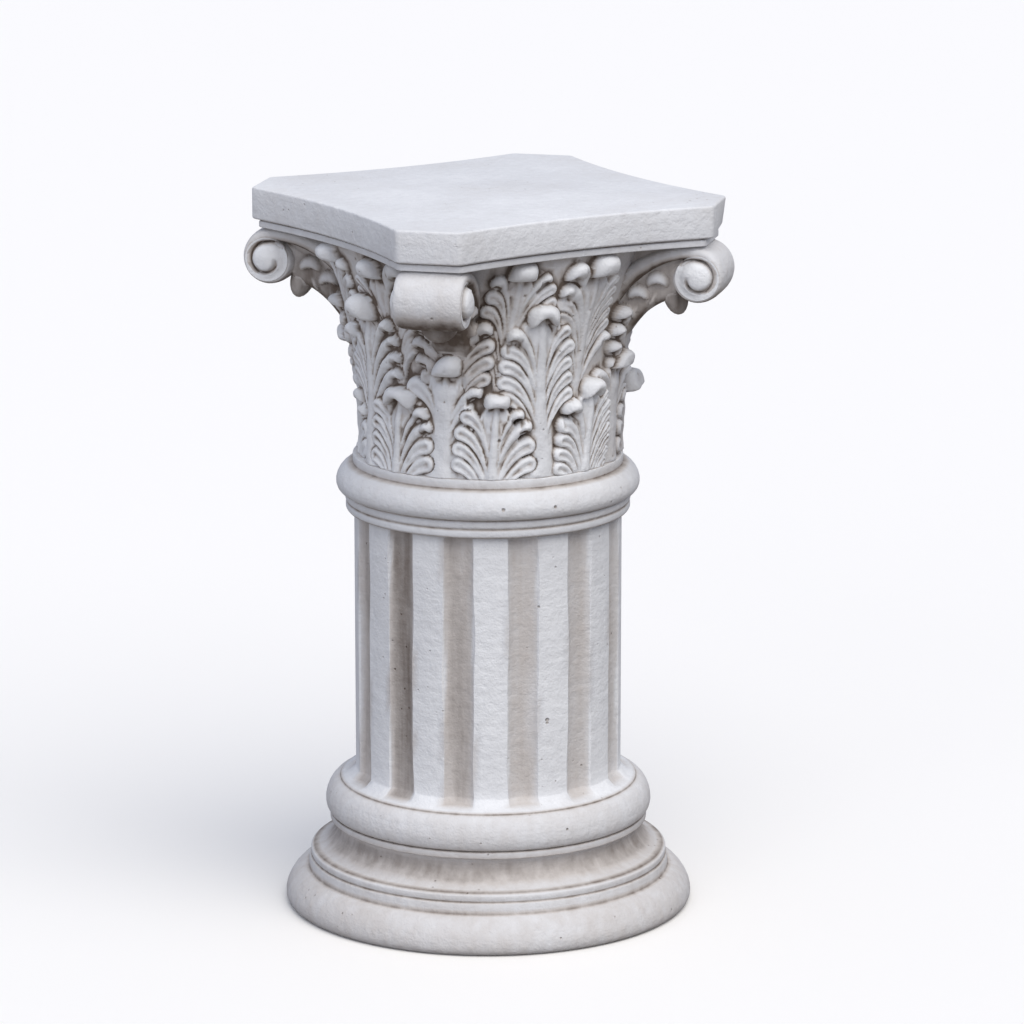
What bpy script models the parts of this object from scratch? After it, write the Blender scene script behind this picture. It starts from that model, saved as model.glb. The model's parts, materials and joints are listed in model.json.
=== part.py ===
"""Roman column: a short garden column cast in one piece, 600 mm high.

A turned base, a shaft with thirteen shallow flutes, a collar, a capital with three rows of leaves and
four corner scrolls, and a square top slab with hollow sides. The origin is the centre of the underside,
+Z is up, and the slab's sides face the X and Y axes. Angles run round the column from the -Y side.
"""

import math

import bmesh
import bpy
from mathutils import Matrix, Vector

# Driving sizes in metres: the shaft, and how far each moulding stands out past its face.
SHAFT_RADIUS = 0.1107
SHAFT_HEIGHT = 0.2204
FOOT_PROJECTION = 0.0593
SOLE_PROJECTION = 0.0530
FOOT_TOP_PROJECTION = 0.0400
FOOT_HEIGHT = 0.0297
LOWER_STEP_PROJECTION = 0.0402
LOWER_STEP_HEIGHT = 0.0100
UPPER_STEP_PROJECTION = 0.0382
UPPER_STEP_HEIGHT = 0.0073
HOLLOW_FOOT_PROJECTION = 0.0346
HOLLOW_TOP_PROJECTION = 0.0205
HOLLOW_THROAT_PROJECTION = 0.0150
HOLLOW_HEIGHT = 0.0244
FILLET_PROJECTION = 0.0218
FILLET_HEIGHT = 0.0062
ROLL_PROJECTION = 0.0253
ROLL_FOOT_PROJECTION = 0.0190
ROLL_HEIGHT = 0.0281
FLARE_PROJECTION = 0.0133
FLARE_LIP = 0.0035
FLARE_HEIGHT = 0.0100

# The collar between the shaft and the capital.
LOWER_RING_PROJECTION = 0.0069
LOWER_RING_HEIGHT = 0.0075
UPPER_RING_PROJECTION = 0.0074
UPPER_RING_HEIGHT = 0.0077
RING_GROOVE = 0.0012
COLLAR_PROJECTION = 0.0148
COLLAR_TOP_PROJECTION = 0.0005
COLLAR_HEIGHT = 0.0242
NECK_PROJECTION = 0.0010
NECK_HEIGHT = 0.0075

# Flutes: raised flat bands are left between them.
FLUTE_COUNT = 13
FLUTE_WIDTH = 0.0245
FLUTE_DEPTH = 0.0050
FLUTE_FIRST_TURN = math.radians(-16.0)
FLUTE_FOOT_DROP = 0.0060

# The capital's bell, from the neck to the band under the slab.
BELL_HEIGHT = 0.1840
BELL_SETBACK = 0.0075
BELL_SPREAD = 0.0290
BELL_FLARE_POWER = 2.6

# The top slab and the thinner band under it.
SLAB_SIDE = 0.310
SLAB_THICKNESS = 0.0265
SLAB_CORNER_CUT = 0.0366
SLAB_SIDE_HOLLOW = 0.012
SLAB_EDGE_ROUND = 0.0015
BAND_THICKNESS = 0.0065
BAND_INSET = 0.004

# Corner scrolls, measured outwards along the slab's diagonals.
SCROLL_RADIUS = 0.0235
SCROLL_WIDTH = 0.057
SCROLL_REACH = 0.0080
SCROLL_BAND = 0.0085
SCROLL_SIDE_RECESS = 0.0045
SCROLL_EYE_RADIUS = 0.0125
SCROLL_EYE_STAND = 0.0035
SCROLL_STEM_WIDTH = 0.044
SCROLL_STEM_DROP = 0.038
SCROLL_TIP_RADIUS = 0.009
SCROLL_TIP_AT = 0.72
SCROLL_TIP_DROP = 0.0075
# The ribbon stands a little proud of the drum, then winds in by shares of its own thickness.
RIBBON_PROUD = 0.0006
RIBBON_START = math.radians(115.0)
RIBBON_SWEEP = math.radians(-345.0)
RIBBON_WIND_IN = 0.55
RIBBON_THINNING = 0.45
# The stem runs from inside the bell to the scroll's belly: shares of the bell's and scroll's radii.
SCROLL_STEM_ROOT = 0.85
SCROLL_STEM_TIP_IN = 0.20
SCROLL_STEM_TIP_DOWN = 0.55
SCROLL_STEM_LIFT_POWER = 1.7
SCROLL_STEM_REACH_POWER = 1.3

# Leaves: height of the blade to its knob's top, width, and the bare stem below the blade.
# The leaves were set by hand, so each stands a few degrees off its regular place round the bell.
LOWER_LEAF_HEIGHT = 0.0750
LOWER_LEAF_WIDTH = 0.0680
LOWER_LEAF_DRIFT = (-6.5, -8.5, -6.0, -4.0, -6.0, -7.0, -5.0, -3.5)
CORNER_LEAF_HEIGHT = 0.0740
CORNER_LEAF_WIDTH = 0.0640
CORNER_LEAF_STEM = 0.0350
CORNER_LEAF_DRIFT = (-8.0, 2.0, -3.0, -1.5)
FACE_LEAF_HEIGHT = 0.1040
FACE_LEAF_WIDTH = 0.0620
FACE_LEAF_STEM = 0.0430
FACE_LEAF_DRIFT = (-8.0, 3.0, -3.0, 5.0)
INNER_LEAF_HEIGHT = 0.1210
INNER_LEAF_WIDTH = 0.0500
INNER_LEAF_START = 0.0550
INNER_LEAF_SPREAD = math.radians(15.5)
INNER_LEAF_DRIFT = math.radians(-4.0)
LEAF_STANDOFF = 0.0040
LOWER_LEAF_RELIEF = 0.0085
UPPER_LEAF_RELIEF = 0.0065
STEM_RELIEF = 0.0030
LEAF_BEDDING = 0.003
# Shares of a leaf's width along its height, of its relief across it, and of its height at its rims.
STEM_SHARE = 0.30
LOWER_FOOT_SHARE = 0.90
BLADE_FOOT_SHARE = 0.60
BLADE_WIDEST_AT = 0.50
BLADE_TIP_SHARE = 0.40
BLADE_HOLLOW = 0.45
LOBE_SWING = 0.20
LOBE_DIP = 0.45
RIM_LIFT = 0.06
LOWER_KNOB_WIDTH = 0.021
UPPER_KNOB_WIDTH = 0.027
INNER_KNOB_WIDTH = 0.025
KNOB_HEIGHT = 0.020
KNOB_STAND = 0.012

# How finely the round shapes are cut into flat faces.
ROUND_STEPS = 36
BEAD_STEPS = 5
SIDE_STEPS = 6
FLUTE_SIDES = 8
SCROLL_STEPS = 13
LEAF_COLUMNS = 4
BELL_STEPS = 4
LOBE_ROWS = 2
KNOB_SIDES = 7
KNOB_RINGS = 4
LEAF_LOBE_COUNT = 3
INNER_LEAF_LOBE_COUNT = 2
FLAT_ANGLE = math.radians(3.5)

# Heights of the creases, stacked from the floor.
foot_top = FOOT_HEIGHT
lower_step_top = foot_top + LOWER_STEP_HEIGHT
upper_step_top = lower_step_top + UPPER_STEP_HEIGHT
hollow_top = upper_step_top + HOLLOW_HEIGHT
fillet_top = hollow_top + FILLET_HEIGHT
roll_top = fillet_top + ROLL_HEIGHT
shaft_foot = roll_top + FLARE_HEIGHT
shaft_top = shaft_foot + SHAFT_HEIGHT
lower_ring_top = shaft_top + LOWER_RING_HEIGHT
upper_ring_top = lower_ring_top + UPPER_RING_HEIGHT
collar_top = upper_ring_top + COLLAR_HEIGHT
neck_top = collar_top + NECK_HEIGHT
band_foot = neck_top + BELL_HEIGHT
slab_foot = band_foot + BAND_THICKNESS
column_top = slab_foot + SLAB_THICKNESS

# The bell stands back from the shaft's face, and the scrolls hang from the slab's corners.
bell_foot_radius = SHAFT_RADIUS - BELL_SETBACK
corner_distance = (SLAB_SIDE - SLAB_CORNER_CUT) / math.sqrt(2.0)
scroll_centre_out = corner_distance + SCROLL_REACH - SCROLL_RADIUS
scroll_centre_up = band_foot - SCROLL_RADIUS


def clear_scene():
    for old in list(bpy.data.objects):
        bpy.data.objects.remove(old, do_unlink=True)


def new_collection(name):
    collection = bpy.data.collections.new(name)
    bpy.context.scene.collection.children.link(collection)
    return collection


def stone_material():
    material = bpy.data.materials.new("cast_stone")
    material.use_nodes = True
    shader = material.node_tree.nodes["Principled BSDF"]
    shader.inputs["Base Color"].default_value = (0.66, 0.65, 0.64, 1.0)
    shader.inputs["Roughness"].default_value = 0.75
    shader.inputs["Metallic"].default_value = 0.0
    return material


def place(turn, out, along, height):
    """A point at an angle from -Y: out from the axis, along the tangent, and up."""
    sine, cosine = math.sin(turn), math.cos(turn)
    return Vector((out * sine + along * cosine, along * sine - out * cosine, height))


def mesh_object(name, bm, collection):
    mesh = bpy.data.meshes.new(name)
    bm.to_mesh(mesh)
    bm.free()
    created = bpy.data.objects.new(name, mesh)
    collection.objects.link(created)
    return created


def helper_object(name, bm, collection):
    """A shape that a Boolean adds or takes away."""
    created = mesh_object(name, bm, collection)
    created.hide_render = True
    created.display_type = "WIRE"
    return created


def bell_radius(height):
    """Plain near the neck, then swinging out towards the slab."""
    rise = max(0.0, min(1.0, (height - neck_top) / BELL_HEIGHT))
    return bell_foot_radius + BELL_SPREAD * rise ** BELL_FLARE_POWER


def half_round(lower, upper, widest, steps):
    """Points of a bead or hollow between two creases; one of them lies at the widest radius."""
    middle = (lower[0] + upper[0]) / 2.0
    lean = (lower[0] - upper[0]) / 2.0
    reach = math.copysign(math.sqrt(max((widest - middle) ** 2 - lean ** 2, 0.0)), widest - middle)
    widest_angle = math.atan2(abs(reach), lean * math.copysign(1.0, reach))
    half_steps = steps // 2
    angles = [widest_angle * step / half_steps for step in range(half_steps)]
    rest = steps - half_steps
    angles += [widest_angle + (math.pi - widest_angle) * step / rest for step in range(rest + 1)]
    points = []
    for angle in angles:
        radius = middle + lean * math.cos(angle) + reach * math.sin(angle)
        height = lower[1] + (upper[1] - lower[1]) * (1.0 - math.cos(angle)) / 2.0
        points.append((radius, height))
    return points


def column_profile():
    """The turned outline from the centre of the underside to the centre of the bell's top."""

    def at(projection, height):
        return (SHAFT_RADIUS + projection, height)

    points = [(0.0, 0.0)]
    points += half_round(
        at(SOLE_PROJECTION, 0.0),
        at(FOOT_TOP_PROJECTION, foot_top),
        SHAFT_RADIUS + FOOT_PROJECTION,
        BEAD_STEPS,
    )
    points += [at(LOWER_STEP_PROJECTION, (foot_top + lower_step_top) / 2.0)]
    points += [at(UPPER_STEP_PROJECTION - RING_GROOVE, lower_step_top)]
    points += [at(UPPER_STEP_PROJECTION, (lower_step_top + upper_step_top) / 2.0)]
    points += half_round(
        at(HOLLOW_FOOT_PROJECTION, upper_step_top),
        at(HOLLOW_TOP_PROJECTION, hollow_top),
        SHAFT_RADIUS + HOLLOW_THROAT_PROJECTION,
        BEAD_STEPS,
    )
    points += [at(FILLET_PROJECTION, hollow_top), at(FILLET_PROJECTION, fillet_top)]
    points += half_round(
        at(ROLL_FOOT_PROJECTION, fillet_top),
        at(FLARE_PROJECTION, roll_top),
        SHAFT_RADIUS + ROLL_PROJECTION,
        BEAD_STEPS,
    )
    points += [at(FLARE_PROJECTION, roll_top + FLARE_LIP)]
    points += [at(FLARE_PROJECTION / 3.0, shaft_foot - FLARE_LIP)]
    points += [at(0.0, shaft_foot), at(0.0, shaft_top)]
    for projection, low, high in (
        (LOWER_RING_PROJECTION, shaft_top, lower_ring_top),
        (UPPER_RING_PROJECTION, lower_ring_top, upper_ring_top),
    ):
        edge = (high - low) / 4.0
        points += [at(projection - RING_GROOVE, low), at(projection, low + edge)]
        points += [at(projection, high - edge)]
    points += half_round(
        at(UPPER_RING_PROJECTION - RING_GROOVE, upper_ring_top),
        at(COLLAR_TOP_PROJECTION, collar_top),
        SHAFT_RADIUS + COLLAR_PROJECTION,
        BEAD_STEPS,
    )
    points += [at(NECK_PROJECTION, collar_top + RING_GROOVE), at(NECK_PROJECTION, neck_top)]
    for step in range(BELL_STEPS + 1):
        height = neck_top + BELL_HEIGHT * step / BELL_STEPS
        points.append((bell_radius(height), height))
    buried_top = band_foot + BAND_THICKNESS / 2.0
    points += [(bell_radius(band_foot), buried_top), (0.0, buried_top)]
    return points


def turned_body(collection):
    """The profile, listed top to bottom, spun round the Z axis."""
    bm = bmesh.new()
    corners = [bm.verts.new((radius, 0.0, height)) for radius, height in reversed(column_profile())]
    for first, second in zip(corners, corners[1:]):
        bm.edges.new((first, second))
    body = mesh_object("column", bm, collection)
    screw = body.modifiers.new("turned", "SCREW")
    screw.steps = ROUND_STEPS
    screw.render_steps = ROUND_STEPS
    screw.use_merge_vertices = True
    screw.merge_threshold = 0.0001
    return body


def flute_cutters(collection):
    """Flattened channels with square ends, sunk into the shaft and a little into the flare."""
    foot = shaft_foot - FLUTE_FOOT_DROP
    for index in range(FLUTE_COUNT):
        turn = FLUTE_FIRST_TURN + 2.0 * math.pi * index / FLUTE_COUNT
        bm = bmesh.new()
        bmesh.ops.create_cone(
            bm, cap_ends=True, segments=FLUTE_SIDES, radius1=1.0, radius2=1.0, depth=shaft_top - foot
        )
        bmesh.ops.scale(bm, vec=(FLUTE_WIDTH / 2.0, FLUTE_DEPTH, 1.0), verts=bm.verts)
        bmesh.ops.translate(bm, vec=(0.0, -SHAFT_RADIUS, (shaft_top + foot) / 2.0), verts=bm.verts)
        bmesh.ops.rotate(bm, cent=(0.0, 0.0, 0.0), matrix=Matrix.Rotation(turn, 3, "Z"), verts=bm.verts)
        helper_object(f"flute_{index + 1}", bm, collection)


def slab_outline(inset):
    """A square with cut corners and hollow sides, moved in by inset."""
    half = SLAB_SIDE / 2.0 - inset
    corner = half - SLAB_CORNER_CUT
    points = []
    for side in range(4):
        for step in range(SIDE_STEPS + 1):
            share = step / SIDE_STEPS
            along = corner * (2.0 * share - 1.0)
            out = half - SLAB_SIDE_HOLLOW * 4.0 * share * (1.0 - share)
            points.append(place(side * math.pi / 2.0, out, along, 0.0))
    return points


def slab_piece(name, inset, low, high, edge_round, collection):
    """A flat outline given its thickness, with its edges eased."""
    curve = bpy.data.curves.new(name, "CURVE")
    curve.dimensions = "2D"
    curve.fill_mode = "BOTH"
    curve.extrude = (high - low) / 2.0
    points = slab_outline(inset)
    spline = curve.splines.new("POLY")
    spline.points.add(len(points) - 1)
    for spot, point in zip(spline.points, points):
        spot.co = (point.x, point.y, 0.0, 1.0)
    spline.use_cyclic_u = True
    outline = bpy.data.objects.new(name, curve)
    collection.objects.link(outline)
    evaluated = outline.evaluated_get(bpy.context.evaluated_depsgraph_get())
    bm = bmesh.new()
    bm.from_mesh(bpy.data.meshes.new_from_object(evaluated))
    bpy.data.objects.remove(outline, do_unlink=True)
    bmesh.ops.remove_doubles(bm, verts=bm.verts, dist=0.00001)
    bmesh.ops.dissolve_limit(bm, angle_limit=math.radians(1.0), verts=bm.verts, edges=bm.edges)
    bmesh.ops.translate(bm, vec=(0.0, 0.0, (low + high) / 2.0), verts=bm.verts)
    if edge_round > 0.0:
        rims = [edge for edge in bm.edges if abs(edge.verts[0].co.z - edge.verts[1].co.z) < 0.00001]
        bmesh.ops.bevel(
            bm, geom=rims, offset=edge_round, offset_type="OFFSET", segments=1, profile=0.5,
            affect="EDGES", clamp_overlap=True, material=-1,
        )
    helper_object(name, bm, collection)


def prism(name, outline, width, turn, collection):
    """An outline of (out, up) points in a corner's upright plane, given a width along the tangent."""
    bm = bmesh.new()
    near = [bm.verts.new(place(turn, out, -width / 2.0, up)) for out, up in outline]
    face = bm.faces.new(near)
    pushed = bmesh.ops.extrude_face_region(bm, geom=[face])
    moved = [item for item in pushed["geom"] if isinstance(item, bmesh.types.BMVert)]
    bmesh.ops.translate(bm, vec=place(turn, 0.0, width, 0.0), verts=moved)
    bmesh.ops.recalc_face_normals(bm, faces=bm.faces)
    return helper_object(name, bm, collection)


def scroll_point(radius, angle):
    """Angle 0 points outwards along the diagonal, a quarter turn points up."""
    return (scroll_centre_out + radius * math.cos(angle), scroll_centre_up + radius * math.sin(angle))


def scroll_drum():
    turns = [2.0 * math.pi * step / SCROLL_STEPS for step in range(SCROLL_STEPS)]
    return [scroll_point(SCROLL_RADIUS, turn) for turn in turns]


def scroll_ribbon():
    """The band rolls over the top, out, down and inwards, winding in and thinning as it goes."""
    outer, inner = [], []
    for step in range(SCROLL_STEPS + 1):
        share = step / SCROLL_STEPS
        angle = RIBBON_START + RIBBON_SWEEP * share
        radius = SCROLL_RADIUS + RIBBON_PROUD - SCROLL_BAND * RIBBON_WIND_IN * share
        outer.append(scroll_point(radius, angle))
        inner.append(scroll_point(radius - SCROLL_BAND * (1.0 - RIBBON_THINNING * share), angle))
    return outer + inner[::-1]


def stem_belly(share):
    """A point of the stem's hollow underside, from its root at the bell to the scroll."""
    root_up = band_foot - SCROLL_STEM_DROP - SCROLL_RADIUS
    root_out = bell_radius(root_up) + STEM_RELIEF
    reach = scroll_centre_out - SCROLL_RADIUS * SCROLL_STEM_TIP_IN - root_out
    climb = scroll_centre_up - SCROLL_RADIUS * SCROLL_STEM_TIP_DOWN - root_up
    lift = 1.0 - (1.0 - share) ** SCROLL_STEM_LIFT_POWER
    return (root_out + reach * share ** SCROLL_STEM_REACH_POWER, root_up + climb * lift)


def scroll_stem():
    """The body that carries a scroll: flat under the band, hollowed below, rooted in the bell."""
    root_out = bell_foot_radius * SCROLL_STEM_ROOT
    points = [(root_out, stem_belly(0.0)[1])]
    points += [stem_belly(step / BEAD_STEPS) for step in range(BEAD_STEPS + 1)]
    buried_top = band_foot + BAND_THICKNESS / 2.0
    points += [(scroll_centre_out, scroll_centre_up), (scroll_centre_out, buried_top)]
    points += [(root_out, buried_top)]
    return points


def corner_scroll(index, collection):
    turn = math.radians(45.0 + 90.0 * index)
    side_width = SCROLL_WIDTH - 2.0 * SCROLL_SIDE_RECESS
    prism(f"scroll_drum_{index + 1}", scroll_drum(), side_width, turn, collection)
    prism(f"scroll_ribbon_{index + 1}", scroll_ribbon(), SCROLL_WIDTH, turn, collection)
    prism(f"scroll_stem_{index + 1}", scroll_stem(), SCROLL_STEM_WIDTH, turn, collection)
    for side in (-1.0, 1.0):
        bm = bmesh.new()
        bmesh.ops.create_uvsphere(
            bm, u_segments=KNOB_SIDES, v_segments=KNOB_RINGS, radius=SCROLL_EYE_RADIUS
        )
        sunk = SCROLL_WIDTH / 2.0 + SCROLL_EYE_STAND - SCROLL_EYE_RADIUS
        centre = place(turn, scroll_centre_out, side * sunk, scroll_centre_up)
        bmesh.ops.translate(bm, vec=centre, verts=bm.verts)
        helper_object(f"scroll_eye_{index + 1}_{'left' if side < 0 else 'right'}", bm, collection)
    bm = bmesh.new()
    bmesh.ops.create_icosphere(bm, subdivisions=1, radius=SCROLL_TIP_RADIUS)
    tip_out, tip_up = stem_belly(SCROLL_TIP_AT)
    bmesh.ops.translate(bm, vec=place(turn, tip_out, 0.0, tip_up - SCROLL_TIP_DROP), verts=bm.verts)
    helper_object(f"scroll_leaf_tip_{index + 1}", bm, collection)


def leaf_outline(rise, foot_share):
    """The share of a leaf's width reached at a share of its height, drawn in towards the knob."""
    if rise < BLADE_WIDEST_AT:
        return 1.0 - (1.0 - foot_share) * (1.0 - rise / BLADE_WIDEST_AT) ** 2
    fall = (rise - BLADE_WIDEST_AT) / (1.0 - BLADE_WIDEST_AT)
    return BLADE_TIP_SHARE + (1.0 - BLADE_TIP_SHARE) * math.cos(fall * math.pi / 2.0)


def leaf_point(across, row, leaf, buried):
    """A point of a leaf: across runs -1 to 1, row counts up, buried chooses the hidden back.

    Row 0 is the foot of the blade, then come its rows, two to a lobe. A leaf that stands on a stem has
    the stem's foot at row -1.
    """
    rise = max(0.0, row / (LOBE_ROWS * leaf["lobes"]))
    lobe = 0.5 - 0.5 * math.cos(2.0 * math.pi * row / LOBE_ROWS)
    edge = abs(across)
    blade_foot = neck_top + leaf["stem"]
    up = blade_foot + (leaf["height"] - KNOB_HEIGHT / 2.0) * rise
    up += leaf["height"] * RIM_LIFT * edge * math.sin(math.pi * rise)
    width = leaf["width"] / 2.0 * leaf_outline(rise, leaf["foot_share"])
    width *= 1.0 + LOBE_SWING * (lobe - 0.5) * edge
    hollow = BLADE_HOLLOW * math.sin(math.pi * edge)
    relief = leaf["relief"] * (1.0 - hollow - LOBE_DIP * (1.0 - lobe) * edge ** 2)
    if row < 0:
        up = neck_top - LEAF_BEDDING
        width *= STEM_SHARE
        relief = STEM_RELIEF
    out = bell_radius(up) + (-LEAF_BEDDING if buried else LEAF_STANDOFF * rise + relief)
    turn = leaf["turn"] + (leaf["tip_turn"] - leaf["turn"]) * rise
    return place(turn + across * width / out, out, 0.0, up)


def carved_leaf(name, leaf, collection):
    """A grid shaped by leaf_point, closed by a copy pushed back into the bell, and a knob at its tip."""
    stem_rows = 1 if leaf["stemmed"] else 0
    rows = stem_rows + LOBE_ROWS * leaf["lobes"]
    bm = bmesh.new()
    bmesh.ops.create_grid(bm, x_segments=LEAF_COLUMNS, y_segments=rows, size=1.0)
    across = bm.verts.layers.float.new("across")
    row = bm.verts.layers.float.new("row")
    for vert in bm.verts:
        vert[across] = vert.co.x
        vert[row] = (vert.co.y + 1.0) / 2.0 * rows - stem_rows
    front = list(bm.verts)
    pushed = bmesh.ops.extrude_face_region(bm, geom=bm.faces[:], use_keep_orig=True)
    back = [item for item in pushed["geom"] if isinstance(item, bmesh.types.BMVert)]
    for vert in front:
        vert.co = leaf_point(vert[across], round(vert[row]), leaf, False)
    for vert in back:
        vert.co = leaf_point(vert[across], round(vert[row]), leaf, True)
    bmesh.ops.recalc_face_normals(bm, faces=bm.faces)
    helper_object(name, bm, collection)

    stand = LEAF_STANDOFF + leaf["relief"] + KNOB_STAND
    bm = bmesh.new()
    bmesh.ops.create_uvsphere(bm, u_segments=KNOB_SIDES, v_segments=KNOB_RINGS, radius=0.5)
    bmesh.ops.scale(bm, vec=(leaf["knob"], stand + LEAF_BEDDING, KNOB_HEIGHT), verts=bm.verts)
    spin = Matrix.Rotation(leaf["tip_turn"], 3, "Z")
    bmesh.ops.rotate(bm, cent=(0.0, 0.0, 0.0), matrix=spin, verts=bm.verts)
    up = neck_top + leaf["stem"] + leaf["height"] - KNOB_HEIGHT / 2.0
    centre = place(leaf["tip_turn"], bell_radius(up) + (stand - LEAF_BEDDING) / 2.0, 0.0, up)
    bmesh.ops.translate(bm, vec=centre, verts=bm.verts)
    helper_object(f"{name}_knob", bm, collection)


def leaf_rows(collection):
    """A low row, a taller row at the faces and corners, and one behind whose knobs meet the band."""
    for index, drift in enumerate(LOWER_LEAF_DRIFT):
        turn = math.radians(45.0 * index - 22.5 + drift)
        leaf = dict(turn=turn, tip_turn=turn, stemmed=False, stem=-LEAF_BEDDING,
                    height=LOWER_LEAF_HEIGHT + LEAF_BEDDING, width=LOWER_LEAF_WIDTH,
                    foot_share=LOWER_FOOT_SHARE, relief=LOWER_LEAF_RELIEF, lobes=LEAF_LOBE_COUNT,
                    knob=LOWER_KNOB_WIDTH)
        carved_leaf(f"lower_leaf_{index + 1}", leaf, collection)
    for index, drift in enumerate(CORNER_LEAF_DRIFT):
        turn = math.radians(90.0 * index + 45.0 + drift)
        leaf = dict(turn=turn, tip_turn=turn, stemmed=True, stem=CORNER_LEAF_STEM,
                    height=CORNER_LEAF_HEIGHT, width=CORNER_LEAF_WIDTH, foot_share=BLADE_FOOT_SHARE,
                    relief=UPPER_LEAF_RELIEF, lobes=LEAF_LOBE_COUNT, knob=UPPER_KNOB_WIDTH)
        carved_leaf(f"corner_leaf_{index + 1}", leaf, collection)
    for index, drift in enumerate(FACE_LEAF_DRIFT):
        turn = math.radians(90.0 * index + drift)
        leaf = dict(turn=turn, tip_turn=turn, stemmed=True, stem=FACE_LEAF_STEM,
                    height=FACE_LEAF_HEIGHT, width=FACE_LEAF_WIDTH, foot_share=BLADE_FOOT_SHARE,
                    relief=UPPER_LEAF_RELIEF, lobes=LEAF_LOBE_COUNT, knob=UPPER_KNOB_WIDTH)
        carved_leaf(f"face_leaf_{index + 1}", leaf, collection)
        for hand, side in ((-1.0, "left"), (1.0, "right")):
            face_turn = math.radians(90.0 * index)
            leaf = dict(turn=face_turn + hand * math.radians(22.5) + INNER_LEAF_DRIFT,
                        tip_turn=face_turn + hand * INNER_LEAF_SPREAD, stemmed=False,
                        stem=INNER_LEAF_START, height=INNER_LEAF_HEIGHT, width=INNER_LEAF_WIDTH,
                        foot_share=BLADE_FOOT_SHARE, relief=STEM_RELIEF, lobes=INNER_LEAF_LOBE_COUNT,
                        knob=INNER_KNOB_WIDTH)
            carved_leaf(f"inner_leaf_{index + 1}_{side}", leaf, collection)


def join(body, name, operation, collection):
    boolean = body.modifiers.new(name, "BOOLEAN")
    boolean.operation = operation
    boolean.solver = "EXACT"
    boolean.operand_type = "COLLECTION"
    boolean.collection = collection


def merge_flat_faces(body):
    """Faces that lie in one plane, such as the cut pieces of a flat, become one."""
    flatten = body.modifiers.new("flats", "DECIMATE")
    flatten.decimate_type = "DISSOLVE"
    flatten.angle_limit = FLAT_ANGLE


def build():
    clear_scene()
    column_parts = new_collection("Roman column")
    flutes = new_collection("Flute cutters")
    carving = new_collection("Cast-on carving")
    body = turned_body(column_parts)
    body.data.materials.append(stone_material())
    flute_cutters(flutes)
    slab_piece("band", BAND_INSET, band_foot, slab_foot + SLAB_EDGE_ROUND, 0.0, carving)
    slab_piece("slab", 0.0, slab_foot, column_top, SLAB_EDGE_ROUND, carving)
    for index in range(4):
        corner_scroll(index, carving)
    leaf_rows(carving)
    join(body, "fluted", "DIFFERENCE", flutes)
    join(body, "carved", "UNION", carving)
    merge_flat_faces(body)


build()
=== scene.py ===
import json
import math

import bmesh
import bpy
import numpy as np
from mathutils import Matrix, Vector

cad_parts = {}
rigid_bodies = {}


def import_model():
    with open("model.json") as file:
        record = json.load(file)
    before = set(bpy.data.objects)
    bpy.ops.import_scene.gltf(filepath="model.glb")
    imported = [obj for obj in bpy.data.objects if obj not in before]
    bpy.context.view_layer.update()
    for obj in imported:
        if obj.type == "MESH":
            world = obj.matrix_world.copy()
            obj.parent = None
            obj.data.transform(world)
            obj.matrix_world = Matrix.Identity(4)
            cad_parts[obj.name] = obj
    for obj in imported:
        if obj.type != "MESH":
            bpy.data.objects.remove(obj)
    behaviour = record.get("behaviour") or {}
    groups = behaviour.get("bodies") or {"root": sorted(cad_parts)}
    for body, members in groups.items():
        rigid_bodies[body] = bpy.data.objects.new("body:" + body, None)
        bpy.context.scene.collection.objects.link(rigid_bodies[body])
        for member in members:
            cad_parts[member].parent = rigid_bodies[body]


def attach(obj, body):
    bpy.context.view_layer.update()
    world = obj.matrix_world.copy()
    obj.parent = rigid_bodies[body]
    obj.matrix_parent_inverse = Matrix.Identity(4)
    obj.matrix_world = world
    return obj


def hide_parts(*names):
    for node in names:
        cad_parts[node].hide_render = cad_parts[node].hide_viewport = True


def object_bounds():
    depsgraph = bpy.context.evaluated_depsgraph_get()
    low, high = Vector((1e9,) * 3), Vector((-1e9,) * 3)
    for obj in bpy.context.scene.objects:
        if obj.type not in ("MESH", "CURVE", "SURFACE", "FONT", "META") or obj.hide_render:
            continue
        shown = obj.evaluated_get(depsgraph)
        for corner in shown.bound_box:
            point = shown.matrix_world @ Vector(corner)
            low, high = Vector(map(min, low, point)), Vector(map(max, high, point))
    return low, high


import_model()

cad_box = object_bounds()

# The base, shaft and collar. Cast stone turned round the upright axis, with thirteen shallow flutes pressed
# into the shaft between raised flat bands. The flutes' edges wander a little, as from a hand-cut mould.
# A wash is how much of the taupe glaze has stayed: 0 where it is wiped off, 1 where it is thick. In places the
# same number is raised further as painted shade, standing in for shade where little light falls.
SHAFT_RADIUS = 0.1107
SHAFT_FOOT = 0.1157
SHAFT_TOP = 0.3361
SHAFT_FLARE = 0.0120
SHAFT_ROWS = 13
ROW_INSET = 0.008
BASE_TOP = 0.1075
COLLAR_TOP = 0.3755
NECK_TOP = 0.3830
LID_RISE = 0.0004
FLUTE_COUNT = 13
FLUTE_PITCH = 2.0 * math.pi / FLUTE_COUNT
FLUTE_HALF_ANGLE = math.radians(6.5)
FLUTE_DEPTH = 0.0052
FLUTE_FIRST_TURN = math.radians(-16.0)
FLUTE_FOOT = 0.1095
FLUTE_END = 0.0012
COLUMNS_PER_FLUTE = 16
EDGE_ANGLE = math.radians(0.45)
SLOW_SWAY, SLOW_WAVES = 0.0066, 33.0
QUICK_SWAY, QUICK_WAVES = 0.0040, 84.0
SOFT_CORNER = 0.0009
CORNER_ANGLE = math.radians(28.0)
# Painted shade on the flutes and the bell is least at this turn from the front, which faces the light, and at
# the turn opposite it.
LIGHT_FACING_TURN = math.radians(20.0)
LEAST_WASH = 0.02
PLAIN_WASH = 0.11
SHAFT_CLEANER = 0.05
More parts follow.
